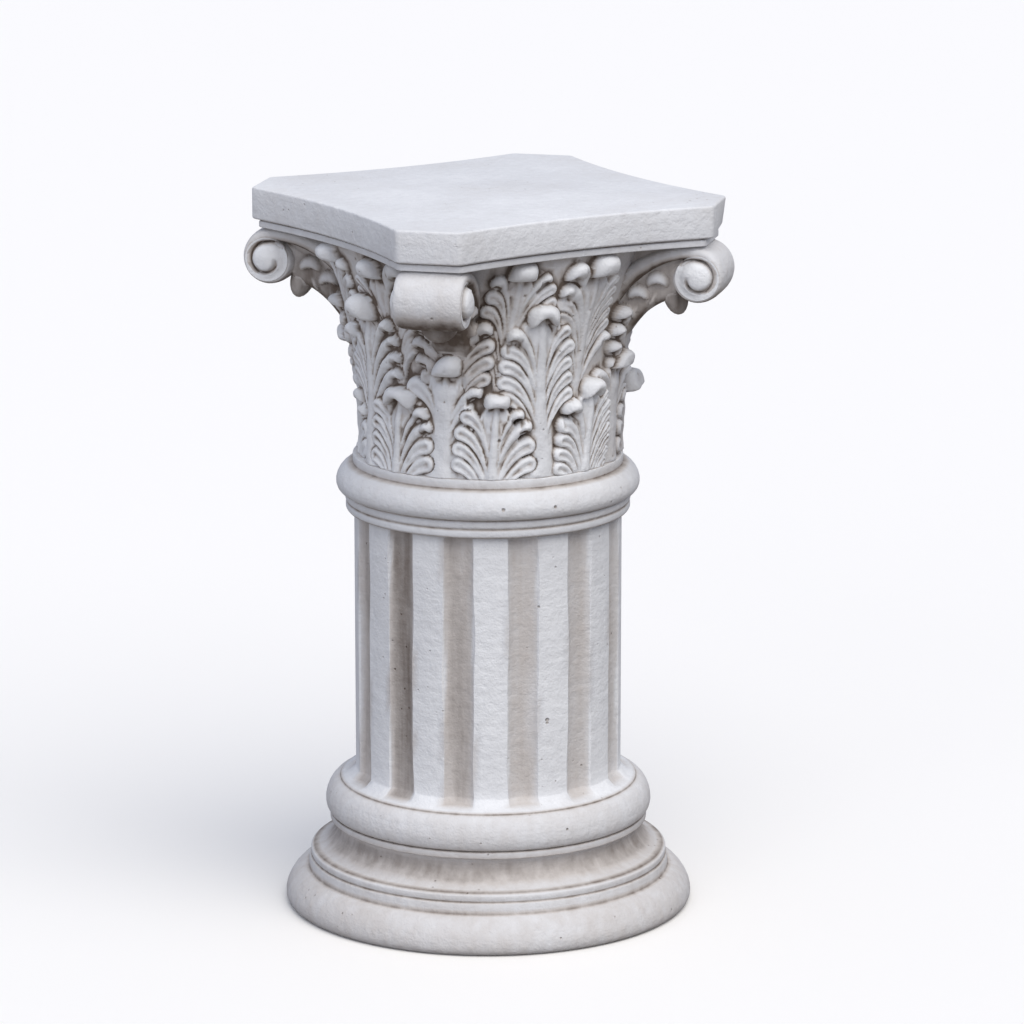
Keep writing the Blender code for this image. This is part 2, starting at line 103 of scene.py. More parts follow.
# The flutes' glaze, and the swing by which painted shade makes the flutes turned from the light darker.
FLUTE_WASH, FLUTE_SHADE_SWING = 0.455, 0.29
HOLLOW_WASH, HOLLOW_MIDDLE, HOLLOW_HALF_HEIGHT = 0.69, 0.0590, 0.0105
FOOT_WASH = 0.37
BASE_WASH = 0.27
COLLAR_WASH = 0.18
CREASE_WASH, CREASE_HALF_HEIGHT = 0.8, 0.0012
CREASES = (0.0302, 0.0398, 0.0470, 0.0714, 0.0774, 0.1066, 0.3362, 0.3436, 0.3511, 0.3757)

casting = bpy.data.collections.new("Casting")
bpy.context.scene.collection.children.link(casting)


def bead(lower, upper, widest, steps):
    """A half-round moulding, or a hollow, between two creases given as (radius, height)."""
    middle = (lower[0] + upper[0]) / 2.0
    lean = (lower[0] - upper[0]) / 2.0
    reach = math.copysign(math.sqrt(max((widest - middle) ** 2 - lean ** 2, 0.0)), widest - middle)
    points = []
    for step in range(steps + 1):
        angle = math.pi * step / steps
        radius = middle + lean * math.cos(angle) + reach * math.sin(angle)
        points.append((radius, lower[1] + (upper[1] - lower[1]) * (1.0 - math.cos(angle)) / 2.0))
    return points


def softened(points):
    """Each sharp corner of a profile is eased by three points close to it."""
    eased = [points[0]]
    for before, here, after in zip(points, points[1:], points[2:]):
        come = Vector(here) - Vector(before)
        go = Vector(after) - Vector(here)
        if come.length < 1e-6 or go.length < 1e-6 or come.angle(go) < CORNER_ANGLE:
            eased.append(here)
            continue
        start = Vector(here) - come.normalized() * min(SOFT_CORNER, come.length * 0.4)
        end = Vector(here) + go.normalized() * min(SOFT_CORNER, go.length * 0.4)
        eased += [tuple(start), tuple((start + end + 2.0 * Vector(here)) / 4.0), tuple(end)]
    return eased + [points[-1]]


def shaft_rows():
    """Heights along the shaft, close together at the flutes' two ends."""
    rows = [FLUTE_FOOT - FLUTE_END, FLUTE_FOOT, FLUTE_FOOT + FLUTE_END, SHAFT_FOOT]
    rows += list(np.linspace(SHAFT_FOOT + ROW_INSET, SHAFT_TOP - ROW_INSET, SHAFT_ROWS))
    return rows + [SHAFT_TOP - 2.0 * FLUTE_END, SHAFT_TOP - FLUTE_END, SHAFT_TOP]


def spun(points, steps):
    """A profile of (radius, height) points spun into a closed body round the upright axis."""
    bm = bmesh.new()
    corners = [bm.verts.new((radius, 0.0, height)) for radius, height in points]
    edges = [bm.edges.new(pair) for pair in zip(corners, corners[1:])]
    bmesh.ops.spin(
        bm, geom=corners + edges, cent=(0, 0, 0), axis=(0, 0, 1), angle=2.0 * math.pi, steps=steps,
        use_merge=True,
    )
    bmesh.ops.remove_doubles(bm, verts=bm.verts, dist=1e-6)
    bmesh.ops.recalc_face_normals(bm, faces=bm.faces)
    return bm


def coordinates(mesh):
    """The mesh's points as an array of rows."""
    flat = np.empty(len(mesh.vertices) * 3)
    mesh.vertices.foreach_get("co", flat)
    return flat.reshape(-1, 3)


def cast_part(name, bm, glaze_and_shade=None):
    """A body of the casting. Its wash of glaze and painted shade is one number or worked out for its points,
    unless it carries one.
    """
    mesh = bpy.data.meshes.new(name)
    bm.to_mesh(mesh)
    bm.free()
    if glaze_and_shade is not None:
        amounts = glaze_and_shade(mesh) if callable(glaze_and_shade) else np.full(len(mesh.vertices), glaze_and_shade)
        layer = mesh.attributes.new("glaze_and_shade", "FLOAT", "POINT")
        layer.data.foreach_set("value", np.clip(amounts, LEAST_WASH, 1.0).astype(np.float32))
    body = bpy.data.objects.new(name, mesh)
    casting.objects.link(body)
    return body


def ramp(low, high, value):
    """0 below low, 1 above high, and a smooth swing between. With low above high it runs the other way."""
    share = np.clip((value - low) / (high - low), 0.0, 1.0)
    return share * share * (3.0 - 2.0 * share)


def flute_share(angle):
    """0 on a flat band, 1 in the middle of a flute."""
    off = (angle - FLUTE_FIRST_TURN + FLUTE_PITCH / 2.0) % FLUTE_PITCH - FLUTE_PITCH / 2.0
    across = np.clip(np.abs(off) / FLUTE_HALF_ANGLE, 0.0, 1.0)
    return (1.0 - across ** 2.4) ** 0.55


def flute_reach(height):
    """The flute's full depth along the shaft, dying out at its square ends."""
    foot = np.clip((height - FLUTE_FOOT) / FLUTE_END + 0.5, 0.0, 1.0)
    head = np.clip((SHAFT_TOP - FLUTE_END - height) / FLUTE_END + 0.5, 0.0, 1.0)
    return foot * head


def turned_profile():
    """The outline as (radius, height), from the centre of the underside to a face hidden in the capital."""
    points = [(0.0, 0.0), (0.100, 0.0)]
    # The broad round foot and the two thin steps on it.
    points += bead((0.1637, 0.0), (0.1507, 0.0297), 0.1700, 11)
    points += [(0.1505, 0.0340), (0.1499, 0.0388), (0.1482, 0.0397)]
    points += [(0.1489, 0.0412), (0.1489, 0.0452), (0.1462, 0.0470)]
    # The hollow, the thin step over it and the smaller round moulding.
    points += bead((0.1450, 0.0474), (0.1312, 0.0714), 0.1255, 9)
    points += [(0.1325, 0.0714), (0.1325, 0.0770)]
    points += bead((0.1297, 0.0776), (0.1240, 0.1057), 0.1360, 11)
    points += [(0.1236, BASE_TOP)]
    # The shaft, which flares a little into the base.
    for row in shaft_rows():
        flare = max(0.0, (SHAFT_FOOT + 0.001 - row) / (SHAFT_FOOT + 0.001 - BASE_TOP))
        points.append((SHAFT_RADIUS + SHAFT_FLARE * flare ** 2.0, row))
    # Two thin rings, the round collar and the neck inside the capital.
    points += [(0.1165, 0.3363), (0.1176, 0.3385), (0.1176, 0.3418), (0.1168, 0.3432)]
    points += [(0.1168, 0.3440), (0.1181, 0.3455), (0.1181, 0.3492), (0.1172, 0.3508)]
    points += bead((0.1172, 0.3513), (0.1112, COLLAR_TOP), 0.1255, 11)
    points += [(0.1117, 0.3768), (0.1117, NECK_TOP)]
    return points + [(0.1040, NECK_TOP + LID_RISE), (0.0, NECK_TOP + LID_RISE)]


def turned_columns(count):
    """Angles of the spun columns, drawn close together along the flutes' edges."""
    inner, outer = FLUTE_HALF_ANGLE - EDGE_ANGLE, FLUTE_HALF_ANGLE + EDGE_ANGLE / 2.0
    spots = [0.0, 2.0, 4.0, 12.0, 14.0, COLUMNS_PER_FLUTE]
    turns = [-FLUTE_PITCH / 2.0, -outer, -inner, inner, outer, FLUTE_PITCH / 2.0]
    column = np.arange(count)
    offset = np.interp(column % COLUMNS_PER_FLUTE, spots, turns)
    return FLUTE_FIRST_TURN + (column // COLUMNS_PER_FLUTE) * FLUTE_PITCH + offset


def turned_glaze_and_shade(mesh):
    """The glaze stays in the flutes, the base's hollow and the lines between the mouldings. The flutes turned
    from the light get more, as painted shade.
    """
    co = coordinates(mesh)
    angle = np.arctan2(co[:, 0], -co[:, 1])
    height = co[:, 2]
    # Painted shade: the flutes turned from the light are darker.
    shade = FLUTE_WASH + FLUTE_SHADE_SWING * np.sin(angle - LIGHT_FACING_TURN) ** 4
    glaze_and_shade = shade * flute_share(angle) ** 0.35 * flute_reach(height)
    glaze_and_shade[glaze_and_shade < 0.05] = 0.0
    cleaner = SHAFT_CLEANER * ramp(0.1080, 0.1180, height) * ramp(0.3400, 0.3300, height)
    glaze_and_shade = np.maximum(glaze_and_shade, PLAIN_WASH - cleaner)
    hollow = np.exp(-(((height - HOLLOW_MIDDLE) / HOLLOW_HALF_HEIGHT) ** 4))
    glaze_and_shade = np.maximum(glaze_and_shade, HOLLOW_WASH * hollow)
    glaze_and_shade = np.maximum(glaze_and_shade, FOOT_WASH * ramp(0.0300, 0.0290, height))
    glaze_and_shade = np.maximum(glaze_and_shade, BASE_WASH * ramp(0.1080, 0.1060, height))
    glaze_and_shade = np.maximum(glaze_and_shade, COLLAR_WASH * ramp(0.3400, 0.3440, height))
    for crease in CREASES:
        near = np.exp(-(((height - crease) / CREASE_HALF_HEIGHT) ** 2))
        glaze_and_shade = np.maximum(glaze_and_shade, CREASE_WASH * near)
    return glaze_and_shade


turned_count = FLUTE_COUNT * COLUMNS_PER_FLUTE
bm = spun(softened(turned_profile()), turned_count)
turns = turned_columns(turned_count)
sway = np.random.default_rng(13).uniform(0.0, 2.0 * math.pi, (turned_count, 2))
for vert in bm.verts:
    radius = math.hypot(vert.co.x, vert.co.y)
    if radius < 1e-6:
        continue
    column = round(math.atan2(vert.co.y, vert.co.x) / (2.0 * math.pi) * turned_count) % turned_count
    angle = turns[column]
    height = vert.co.z
    if FLUTE_FOOT - 0.004 < height < SHAFT_TOP + 0.001:
        edge = sway[column // (COLUMNS_PER_FLUTE // 2)]
        wander = SLOW_SWAY * math.sin(height * SLOW_WAVES + edge[0])
        wander += QUICK_SWAY * math.sin(height * QUICK_WAVES + edge[1])
        radius -= FLUTE_DEPTH * float(flute_share(np.array(angle)) * flute_reach(height))
        angle += wander
    vert.co = (radius * math.sin(angle), -radius * math.cos(angle), height)
bmesh.ops.recalc_face_normals(bm, faces=bm.faces)
turned = cast_part("turned_body", bm, turned_glaze_and_shade)

# The capital's bell and its leaves. Rows of leaves stand in relief on a flaring bell, each with a smooth
# midrib, long fingers that sweep outwards to spoon-shaped ends, and a curled-over tip. They were modelled by
# hand and cast with the rest.
MM = 0.001
BELL_FOOT_RADIUS = 0.1032
BELL_SPREAD = 0.0290
BELL_FLARE = 2.6
BAND_FOOT = 0.5670
BELL_LOW = NECK_TOP - 0.004
BELL_HIGH = BAND_FOOT + 0.004
BELL_COLUMNS = 900
BELL_ROWS = 238
FINGER_STEPS = 30
THINNEST_FINGER = 0.9
LEAF_HALF_ROOM = 42.0
TOUCH_SEED, UNEVENNESS = 31, 0.30
PIT_COUNT, PIT_SIZES, PIT_DEPTHS = 90, (0.8, 1.7), (0.6, 1.3)
# Stain on the bare bell between the leaves. It is laid on more thickly, as painted shade, on the side turned
# from the light.
GROUND_STAIN_AND_SHADE = 0.18
MOTTLE_SEED, MOTTLE_SWING = 7, 0.40
# Glaze, with painted shade, in the bell's fine lines and deep hollows; the bell's plain glaze; and how much is
# rubbed off what stands out.
LINE_GLAZE_AND_SHADE, DEEP_GLAZE_AND_SHADE, BELL_WASH, RUBBED_OFF = 0.88, 0.46, 0.06, 0.16


def bell_radius(height):
    """The bare bell flares towards the slab."""
    rise = np.clip((height - NECK_TOP) / (BAND_FOOT - NECK_TOP), 0.0, 1.0)
    return BELL_FOOT_RADIUS + BELL_SPREAD * rise ** BELL_FLARE


def finger(x, y, root, bend, tip, gap, fill):
    """How far each point is off a finger's curved middle line, in half widths, and its share along it.

    The finger is as wide as the room between its neighbours' middle lines lets it be."""
    nearest = np.full(x.shape, 9.0)
    along = np.zeros(x.shape)
    for share in np.linspace(0.0, 1.0, FINGER_STEPS):
        rest = 1.0 - share
        across = x - (rest * rest * root[0] + 2.0 * share * rest * bend[0] + share * share * tip[0])
        upward = y - (rest * rest * root[1] + 2.0 * share * rest * bend[1] + share * share * tip[1])
        sideways = rest * (bend[0] - root[0]) + share * (tip[0] - bend[0])
        climbing = rest * (bend[1] - root[1]) + share * (tip[1] - bend[1])
        half = max(fill * gap * abs(sideways) / math.hypot(sideways, climbing), THINNEST_FINGER)
        near = np.hypot(across, upward) / half
        closer = near < nearest
        nearest = np.where(closer, near, nearest)
        along = np.where(closer, share, along)
    return nearest, along


def spoon(near, along, hollow):
    """A finger's section: steep edges, and a channel that opens into a spoon towards its end."""
    body = np.clip(1.0 - near ** 3.2, 0.0, 1.0) ** 0.6
    channel = hollow * np.exp(-((near / 0.46) ** 2)) * ramp(0.15, 0.70, along)
    return body * (1.0 - channel)


def curl_lip(across, hang):
    """The lower edge of a curled-over end: its two sides can hang lower than its middle."""
    return -hang * np.sin(math.pi * across ** 2.3)


def curl(x, y, half, tall, hang, square):
    """A curled-over end: a roll that turns in under its own lip."""
    across = np.clip(np.abs(x) / half, 0.0, 1.0)
    lip = curl_lip(across, hang)
    crest = tall * (1.0 - across ** square) ** (1.0 / square)
    share = np.clip((y - lip) / (crest - lip + 1e-6), 0.0, 1.0)
    roll = np.clip(1.0 - np.abs(2.0 * share ** 0.80 - 1.0) ** 2.4, 0.0, 1.0) ** 0.6
    return roll * np.clip(1.0 - across ** 2.8, 0.0, 1.0) ** 0.7


def hollow_under(x, y, half, hang, ridge):
    """The dark hollow under a curled-over end. ridge is how much the midrib fills its middle."""
    across = np.clip(np.abs(x) / half, 0.0, 1.0)
    below = y - curl_lip(across, hang) + 0.24 * half
    depth = 0.88 - ridge * np.exp(-((across / 0.20) ** 2))
    reach = np.where(below < 0.0, 0.58 * half + 1.4, 0.30 * half + 1.2)
    return depth * (1.0 - across ** 5.0) * np.exp(-((below / reach) ** 2))


def side_reach(tips, y):
    """How far the leaf's edge is from its midrib at a height."""
    return np.interp(y, [tip[1] for tip in tips[::-1]], [tip[0] for tip in tips[::-1]])


def leaf_sheet(leaf, x, y):
    """The leaf's thin ground between its fingers, ending below along its lowest fingers."""
    edge = np.where(x < 0.0, side_reach(leaf["left"], y), side_reach(leaf["right"], y))
    share = np.clip(np.abs(x) / edge, 0.0, 1.0)
    lowest = np.where(x < 0.0, leaf["left"][-1][1], leaf["right"][-1][1])
    foot = np.maximum(lowest - leaf["run"] * (1.0 - share) ** 2.0, leaf["foot"] - 40.0)
    sheet = (0.66 - 0.30 * ramp(0.08, 0.45, share)) * ramp(0.98, 0.78, share)
    # The neck that carries the curled-over end, rounded off above it.
    neck = ramp(leaf["cap"], 0.8 * leaf["cap"], np.abs(x)) * ramp(leaf["lip"] - 26.0, leaf["lip"] - 8.0, y)
    sheet = np.maximum(sheet, 0.72 * neck) * ramp(foot - 2.5, foot + 1.5, y)
    top = leaf["lip"] + 4.0 - 9.0 * (np.abs(x) / leaf["cap"]) ** 2
    return leaf["stand"] * sheet * ramp(top, top - 4.0, y)


def leaf_relief(leaf, x, y):
    """How far a leaf stands out and droops, in millimetres, and how much of the ground it covers."""
    stand, lip = leaf["stand"], leaf["lip"]
    relief = leaf_sheet(leaf, x, y)
    droop = np.zeros(x.shape)
    curls = []
    # The fingers on each side, and the hooked lobes that some of them end in.
    for side, arch, tips in ((-1.0, leaf["arch"][0], leaf["left"]), (1.0, leaf["arch"][1], leaf["right"])):
        heights = np.array([tip[1] for tip in tips])
        spacing = np.abs(np.gradient(heights))
        for tip, gap in zip(tips, spacing):
            size = tip[2] if len(tip) == 3 else 0.0
            root = (side * 1.2, tip[1] - leaf["run"])
            bend = (side * tip[0] * leaf["bend"], tip[1] + arch)
            near, along = finger(x, y, root, bend, (side * tip[0], tip[1]), gap, leaf["fill"])
            bowl = spoon(near, along, leaf["hollow"] if size == 0.0 else 0.0)
            lifted = (stand * (0.70 + 0.30 * along ** 1.2) + 0.45 * size * along ** 4) * bowl
            over = lifted > relief
            relief = np.where(over, lifted, relief)
            droop = np.where(over, leaf["sag"] * ramp(0.5, 1.0, along) * bowl, droop)
            if size > 0.0:
                spot = (side * (tip[0] + 0.1 * size), tip[1] - 0.35 * size)
                curls.append((*spot, size, 1.15 * size, 0.35 * size, 2.2, 0.55 * size, 0.0))
    # The midrib, slimmer towards its top.
    climb = np.clip((y - leaf["stem"]) / (lip - leaf["stem"]), 0.0, 1.0)
    rib_half = leaf["rib"] * (leaf["slim"] + (1.0 - leaf["slim"]) * (1.0 - climb) ** 1.8)
    rib = stand * leaf["rib_stand"] * np.exp(-(np.abs(x / rib_half) ** 3.0))
    rib = rib * ramp(leaf["stem"] - 4.0, leaf["stem"] + 4.0, y) * ramp(lip + 4.0, lip - 4.0, y)
    relief = np.maximum(relief, rib)
    # The curled-over end, last, over the hollow that it throws.
    tip_stand = leaf["cap_stand"] - stand
    curls.append((0.0, lip, leaf["cap"], leaf["tall"], leaf["hang"], leaf["square"], tip_stand, 0.30))
    for middle, height, half, tall, hang, square, extra, ridge in curls:
        relief = relief * (1.0 - hollow_under(x - middle, y - height, half, hang, ridge))
        lean_over = leaf.get("skew", 0.0) * np.maximum(y - height, 0.0)
        cap = curl(x - middle - lean_over, y - height, half, tall, hang, square)
        lifted = (stand + extra) * cap
        over = lifted > relief
        relief = np.where(over, lifted, relief)
        droop = np.where(over, 0.22 * half * cap * ramp(0.8 * tall, -0.3 * tall, y - height), droop)
    for reach, sideways, upward in leaf["broken"]:
        cut = np.maximum(reach + sideways * x + upward * (y - lip), 0.5 * stand)
        relief = np.minimum(relief, cut)
    relief = relief * ramp(-1.5, 0.5, y)
    cover = np.clip(relief / 1.2, 0.0, 1.0)
    climb = np.clip((y - leaf["foot"]) / (lip - leaf["foot"]), 0.0, 1.4)
    return relief + (leaf["ground"] + leaf["lean"] * climb ** 2) * cover, droop * cover, cover


# A leaf's sizes are millimetres, up from the neck's top and to each side of the midrib. left and right are
# its fingers' ends from the top downwards. A third number makes one a hooked lobe of that half width. The tip
# curls over at lip: cap is its half width, tall its height, hang how far its sides drop, square how boxy it
# is, skew how it leans sideways, cap_stand how far it stands out. stand, ground and lean bring the leaf out
# from the bell, and run, bend and arch draw its fingers. broken holds a break's planes: how far out each one
# is at the lip, and how that grows sideways and upwards. The stain number darkens the leaf from 0 to 1: old
# glaze, and on the leaves under the scrolls painted shade.
LOWER_LEAF = dict(
    stain_and_shade=0.0, foot=0.0, stem=-6.0, lip=61.5, cap=10.8, tall=10.0, hang=1.5, square=4.0, cap_stand=13.0,
    stand=7.2, ground=2.2, lean=3.0, fill=0.53, run=42.0, bend=0.42, arch=(-6.0, -6.0), hollow=0.42, sag=1.4,
    rib=7.0, slim=0.55, rib_stand=0.95, broken=(),
    left=((23.0, 53.0), (27.0, 39.0), (28.0, 26.0), (28.0, 12.5)),
    right=((17.0, 54.0, 5.6), (24.0, 43.5, 5.4), (27.5, 27.5), (30.0, 12.5)),
)
LOWER_RIGHT_LEAF = dict(
    LOWER_LEAF, lip=68.5, cap=11.5, tall=9.0, hang=7.0, square=2.2, arch=(-3.0, -12.0),
    left=((19.5, 56.0, 8.0), (24.5, 41.5), (25.5, 29.5), (27.0, 18.0), (27.0, 6.5)),
    right=((19.0, 62.0), (24.0, 53.0), (27.0, 43.0), (28.0, 33.5), (28.0, 24.0), (27.0, 14.5), (25.0, 6.0)),
)
LOWER_LEFT_LEAF = dict(
    LOWER_LEAF, lip=64.5, cap=16.5, tall=8.5, hang=8.5, square=2.4, stand=7.0, arch=(-5.0, -4.0),
    left=((25.0, 53.0), (26.0, 39.5), (26.5, 25.5), (27.0, 11.0)),
    right=((20.5, 53.0, 7.4), (26.0, 41.5, 5.8), (27.0, 26.0), (29.0, 11.0)),
)
LOWER_WORN_LEAF = dict(
    LOWER_LEFT_LEAF, stand=3.6, ground=0.6, lean=0.0, lip=60.0, cap=9.0, tall=8.0, hang=1.5, cap_stand=5.0,
)
LOWER_BROKEN_LEAF = dict(
    LOWER_LEFT_LEAF, stain_and_shade=0.22, lip=54.0, cap=12.5, tall=15.5, hang=3.5, square=3.2, cap_stand=21.5,
    broken=((19.5, 0.45, -0.60), (24.0, -0.75, 0.30)),
)
FACE_LEAF = dict(
    stain_and_shade=0.0, foot=52.0, stem=-4.0, lip=135.0, cap=14.2, tall=10.2, hang=8.5, square=2.2, cap_stand=13.0,
    stand=6.6, ground=1.2, lean=2.5, fill=0.53, run=46.0, bend=0.38, arch=(-4.0, -9.0), hollow=0.36, sag=1.4,
    rib=12.5, slim=0.36, rib_stand=0.95, broken=(),
    left=((23.0, 120.0, 7.0), (28.0, 107.0), (29.5, 94.0), (30.5, 80.5), (31.0, 68.0)),
    right=((20.5, 121.0), (25.0, 108.0), (23.5, 94.0), (25.0, 81.0), (25.5, 68.0)),
)
FACE_LEFT_LEAF = dict(
    FACE_LEAF, lip=127.0, cap=15.0, tall=20.0, hang=2.0, cap_stand=18.0,
    left=((21.0, 112.0, 9.0), (27.0, 99.0), (29.0, 87.0), (30.0, 75.0)),
    right=((26.0, 123.0, 7.2), (31.0, 110.5, 6.0), (32.5, 96.5, 6.0), (32.5, 82.5, 6.0), (31.0, 69.0)),
)
CORNER_LEAF = dict(
    FACE_LEAF, foot=40.0, lip=86.5, cap=12.6, tall=18.0, hang=0.5, skew=0.30, cap_stand=17.0, run=42.0,
    slim=0.95,
    left=((27.0, 74.0), (26.0, 57.0), (25.0, 42.0)),
    right=((24.0, 72.0, 6.5), (19.0, 59.0, 5.0), (22.0, 45.0)),
)
CORNER_RIGHT_LEAF = dict(
    CORNER_LEAF, stain_and_shade=0.20, lip=80.0, cap=10.5, tall=15.0, cap_stand=15.5, broken=((13.5, 0.35, -0.15),),
)
CORNER_LEFT_LEAF = dict(
    CORNER_LEAF, lip=89.0, cap=11.0, tall=17.0, hang=-3.0, square=1.2, skew=0.0, cap_stand=12.5,
    right=((9.0, 74.0), (9.0, 60.0), (9.0, 45.0)),
)
# The leaf under each scroll carries a stain that is painted shade, for the scroll's shadow over it.
SCROLL_LEAF = dict(
    FACE_LEAF, stain_and_shade=0.22, foot=72.0, lip=150.0, cap=6.0, tall=4.0, hang=0.0, cap_stand=7.0, ground=2.0,
    lean=9.0, stand=7.4, rib=10.0, rib_stand=0.5, run=30.0, bend=0.50, arch=(-6.0, -6.0), hollow=0.40,
    left=((26.0, 126.0, 5.5), (27.0, 112.0, 5.5), (26.0, 98.0, 5.0), (23.0, 84.0)),
    right=((27.0, 126.0, 6.0), (28.0, 112.0), (27.0, 98.0), (24.0, 84.0)),
)
INNER_LEAF = dict(
    stain_and_shade=0.12, foot=84.0, stem=60.0, lip=167.0, cap=12.4, tall=14.5, hang=0.5, square=3.2, cap_stand=15.0,
    stand=4.8, ground=0.4, lean=1.0, fill=0.53, run=44.0, bend=0.36, arch=(-3.0, -9.0), hollow=0.38, sag=0.8,
    rib=6.0, slim=0.6, rib_stand=0.90, broken=(),
    left=((19.0, 165.0, 5.0), (20.5, 152.5), (22.5, 140.0), (23.5, 128.5), (23.0, 117.0), (22.0, 105.0)),
    right=((21.0, 167.0, 5.0), (28.0, 157.0), (31.0, 145.0), (30.0, 133.0), (27.0, 121.0), (24.0, 109.0)),
)
INNER_RIGHT_LEAF = dict(
    INNER_LEAF, lip=165.0, cap=14.2, tall=17.5, hang=1.0,
    left=((26.0, 170.0, 9.4), (29.0, 154.0, 6.4), (31.0, 143.0), (30.0, 131.5), (28.0, 119.0), (25.0, 107.0)),
    right=((24.0, 158.0), (24.5, 149.0), (24.0, 140.0), (24.0, 131.0), (25.0, 121.0), (27.0, 109.0, 5.6)),
)
INNER_SIDE_LEAF = dict(INNER_RIGHT_LEAF, lip=163.0, cap=10.8, tall=15.0)

# Where the leaves grow, from the back row to the front one. Each line is a leaf, -1 where it is mirrored, and
# for each copy the degrees from the front of its foot and of its tip.
LEAF_ROWS = (
    (INNER_LEAF, 1.0, ((-25.5, -18.8), (64.0, 71.0), (156.0, 161.0))),
    (INNER_LEAF, -1.0, ((252.0, 254.5),)),
    (INNER_RIGHT_LEAF, 1.0, ((10.0, 13.6), (101.0, 104.0), (190.0, 193.5))),
    (INNER_SIDE_LEAF, -1.0, ((288.0, 283.5),)),
    (SCROLL_LEAF, 1.0, ((45.0, 45.0), (135.0, 135.0), (225.0, 225.0), (315.0, 315.0))),
    (CORNER_LEAF, 1.0, ((137.0, 136.0), (309.3, 311.6))),
    (CORNER_LEFT_LEAF, 1.0, ((228.0, 230.0),)),
    (CORNER_RIGHT_LEAF, 1.0, ((38.0, 37.0),)),
    (FACE_LEAF, 1.0, ((-8.3, -9.4), (93.0, 91.0))),
    (FACE_LEAF, -1.0, ((177.0, 176.0),)),
    (FACE_LEFT_LEAF, 1.0, ((269.5, 274.0),)),
    (LOWER_LEAF, 1.0, ((-29.6, -27.3), (108.5, 107.0), (195.5, 194.0))),
    (LOWER_RIGHT_LEAF, 1.0, ((14.7, 17.4), (151.5, 153.0))),
    (LOWER_LEFT_LEAF, 1.0, ((286.1, 289.8),)),
    (LOWER_BROKEN_LEAF, 1.0, ((61.5, 61.0),)),
    (LOWER_WORN_LEAF, 1.0, ((242.5, 241.0),)),
)


def leaf_field():
    """Relief, droop, and old glaze with painted shade, on a grid of heights and angles. Front leaves cover
    those behind.
    """
    heights = np.linspace(BELL_LOW, BELL_HIGH, BELL_ROWS + 1)
    angles = np.arange(BELL_COLUMNS) * 2.0 * math.pi / BELL_COLUMNS
    relief = np.zeros((heights.size, angles.size))
    droop = np.zeros(relief.shape)
    stain_and_shade = np.full(relief.shape, GROUND_STAIN_AND_SHADE)
    up, turn = np.meshgrid(heights, angles, indexing="ij")
    y = (up - NECK_TOP) / MM
    for leaf, facing, places in LEAF_ROWS:
        low, high = leaf["foot"], leaf["lip"]
        for foot_turn, tip_turn in places:
            rise = np.clip((y - low) / (high - low), -0.6, 1.2)
            middle = np.radians(foot_turn + (tip_turn - foot_turn) * rise)
            off = (turn - middle + math.pi) % (2.0 * math.pi) - math.pi
            x = facing * off * (bell_radius(up) + 0.006) / MM
            window = (np.abs(x) < LEAF_HALF_ROOM) & (y > leaf["stem"] - 8.0) & (y < high + leaf["tall"] + 8.0)
            leaf_out, leaf_down, cover = leaf_relief(leaf, x[window], y[window])
            relief[window] = relief[window] * (1.0 - cover) + leaf_out
            droop[window] = droop[window] * (1.0 - cover) + leaf_down
            stain_and_shade[window] = stain_and_shade[window] * (1.0 - cover) + leaf["stain_and_shade"] * cover
    return relief, droop, stain_and_shade


def blurred(field, cells):
    """A soft average over a square of cells, round the bell without a seam."""
    total = np.zeros(field.shape)
    for step in range(-cells, cells + 1):
        total += np.roll(field, step, axis=1)
    field = total / (2 * cells + 1)
    padded = np.pad(field, ((cells, cells), (0, 0)), mode="edge")
    total = np.zeros(field.shape)
    for step in range(2 * cells + 1):
        total += padded[step : step + field.shape[0]]
    return total / (2 * cells + 1)


def hand_worked(relief):
    """The modeller's uneven touch and a scatter of small air holes, in millimetres."""
    rng = np.random.default_rng(TOUCH_SEED)
    uneven = blurred(blurred(rng.normal(size=relief.shape), 4), 4)
    relief = relief + UNEVENNESS * uneven / uneven.std() * np.clip(relief / 3.0, 0.2, 1.0)
    rows, columns = relief.shape
    for _ in range(PIT_COUNT):
        row, column = rng.integers(8, rows - 12), rng.integers(0, columns)
        size, depth = rng.uniform(*PIT_SIZES), rng.uniform(*PIT_DEPTHS)
        for down in range(-3, 4):
            for right in range(-3, 4):
                dent = depth * math.exp(-(down * down + right * right) / (size * size))
                relief[row + down, (column + right) % columns] -= dent
    return relief


def bell_glaze_and_shade(relief, stain_and_shade):
    """Glaze and painted shade gather in fine lines and deep hollows, unevenly, and more on the side turned
    from the light. The glaze is rubbed off what stands out.
    """
    line = np.clip((blurred(relief, 2) - relief - 0.08) / 0.75, 0.0, 1.0)
    deep = np.clip((blurred(blurred(relief, 8), 8) - relief - 0.6) / 4.5, 0.0, 1.0)
    raised = np.clip((relief - blurred(relief, 7) - 0.4) / 2.0, 0.0, 1.0)
    mottle = blurred(blurred(np.random.default_rng(MOTTLE_SEED).normal(size=relief.shape), 5), 5)
    mottle = np.clip(1.0 + MOTTLE_SWING * mottle / mottle.std(), 0.2, 2.0)
    # Painted shade: the side of the bell turned from the light is darker.
    shaded = np.sin(np.arange(BELL_COLUMNS) * 2.0 * math.pi / BELL_COLUMNS - LIGHT_FACING_TURN) ** 2
    glaze_and_shade = (LINE_GLAZE_AND_SHADE * line + DEEP_GLAZE_AND_SHADE * deep) * (1.0 + 0.65 * shaded) * mottle
    glaze_and_shade = glaze_and_shade + stain_and_shade * (1.0 + 0.6 * shaded)
    return np.clip(glaze_and_shade + BELL_WASH + 0.05 * (mottle - 1.0) - RUBBED_OFF * raised, LEAST_WASH, 1.0)


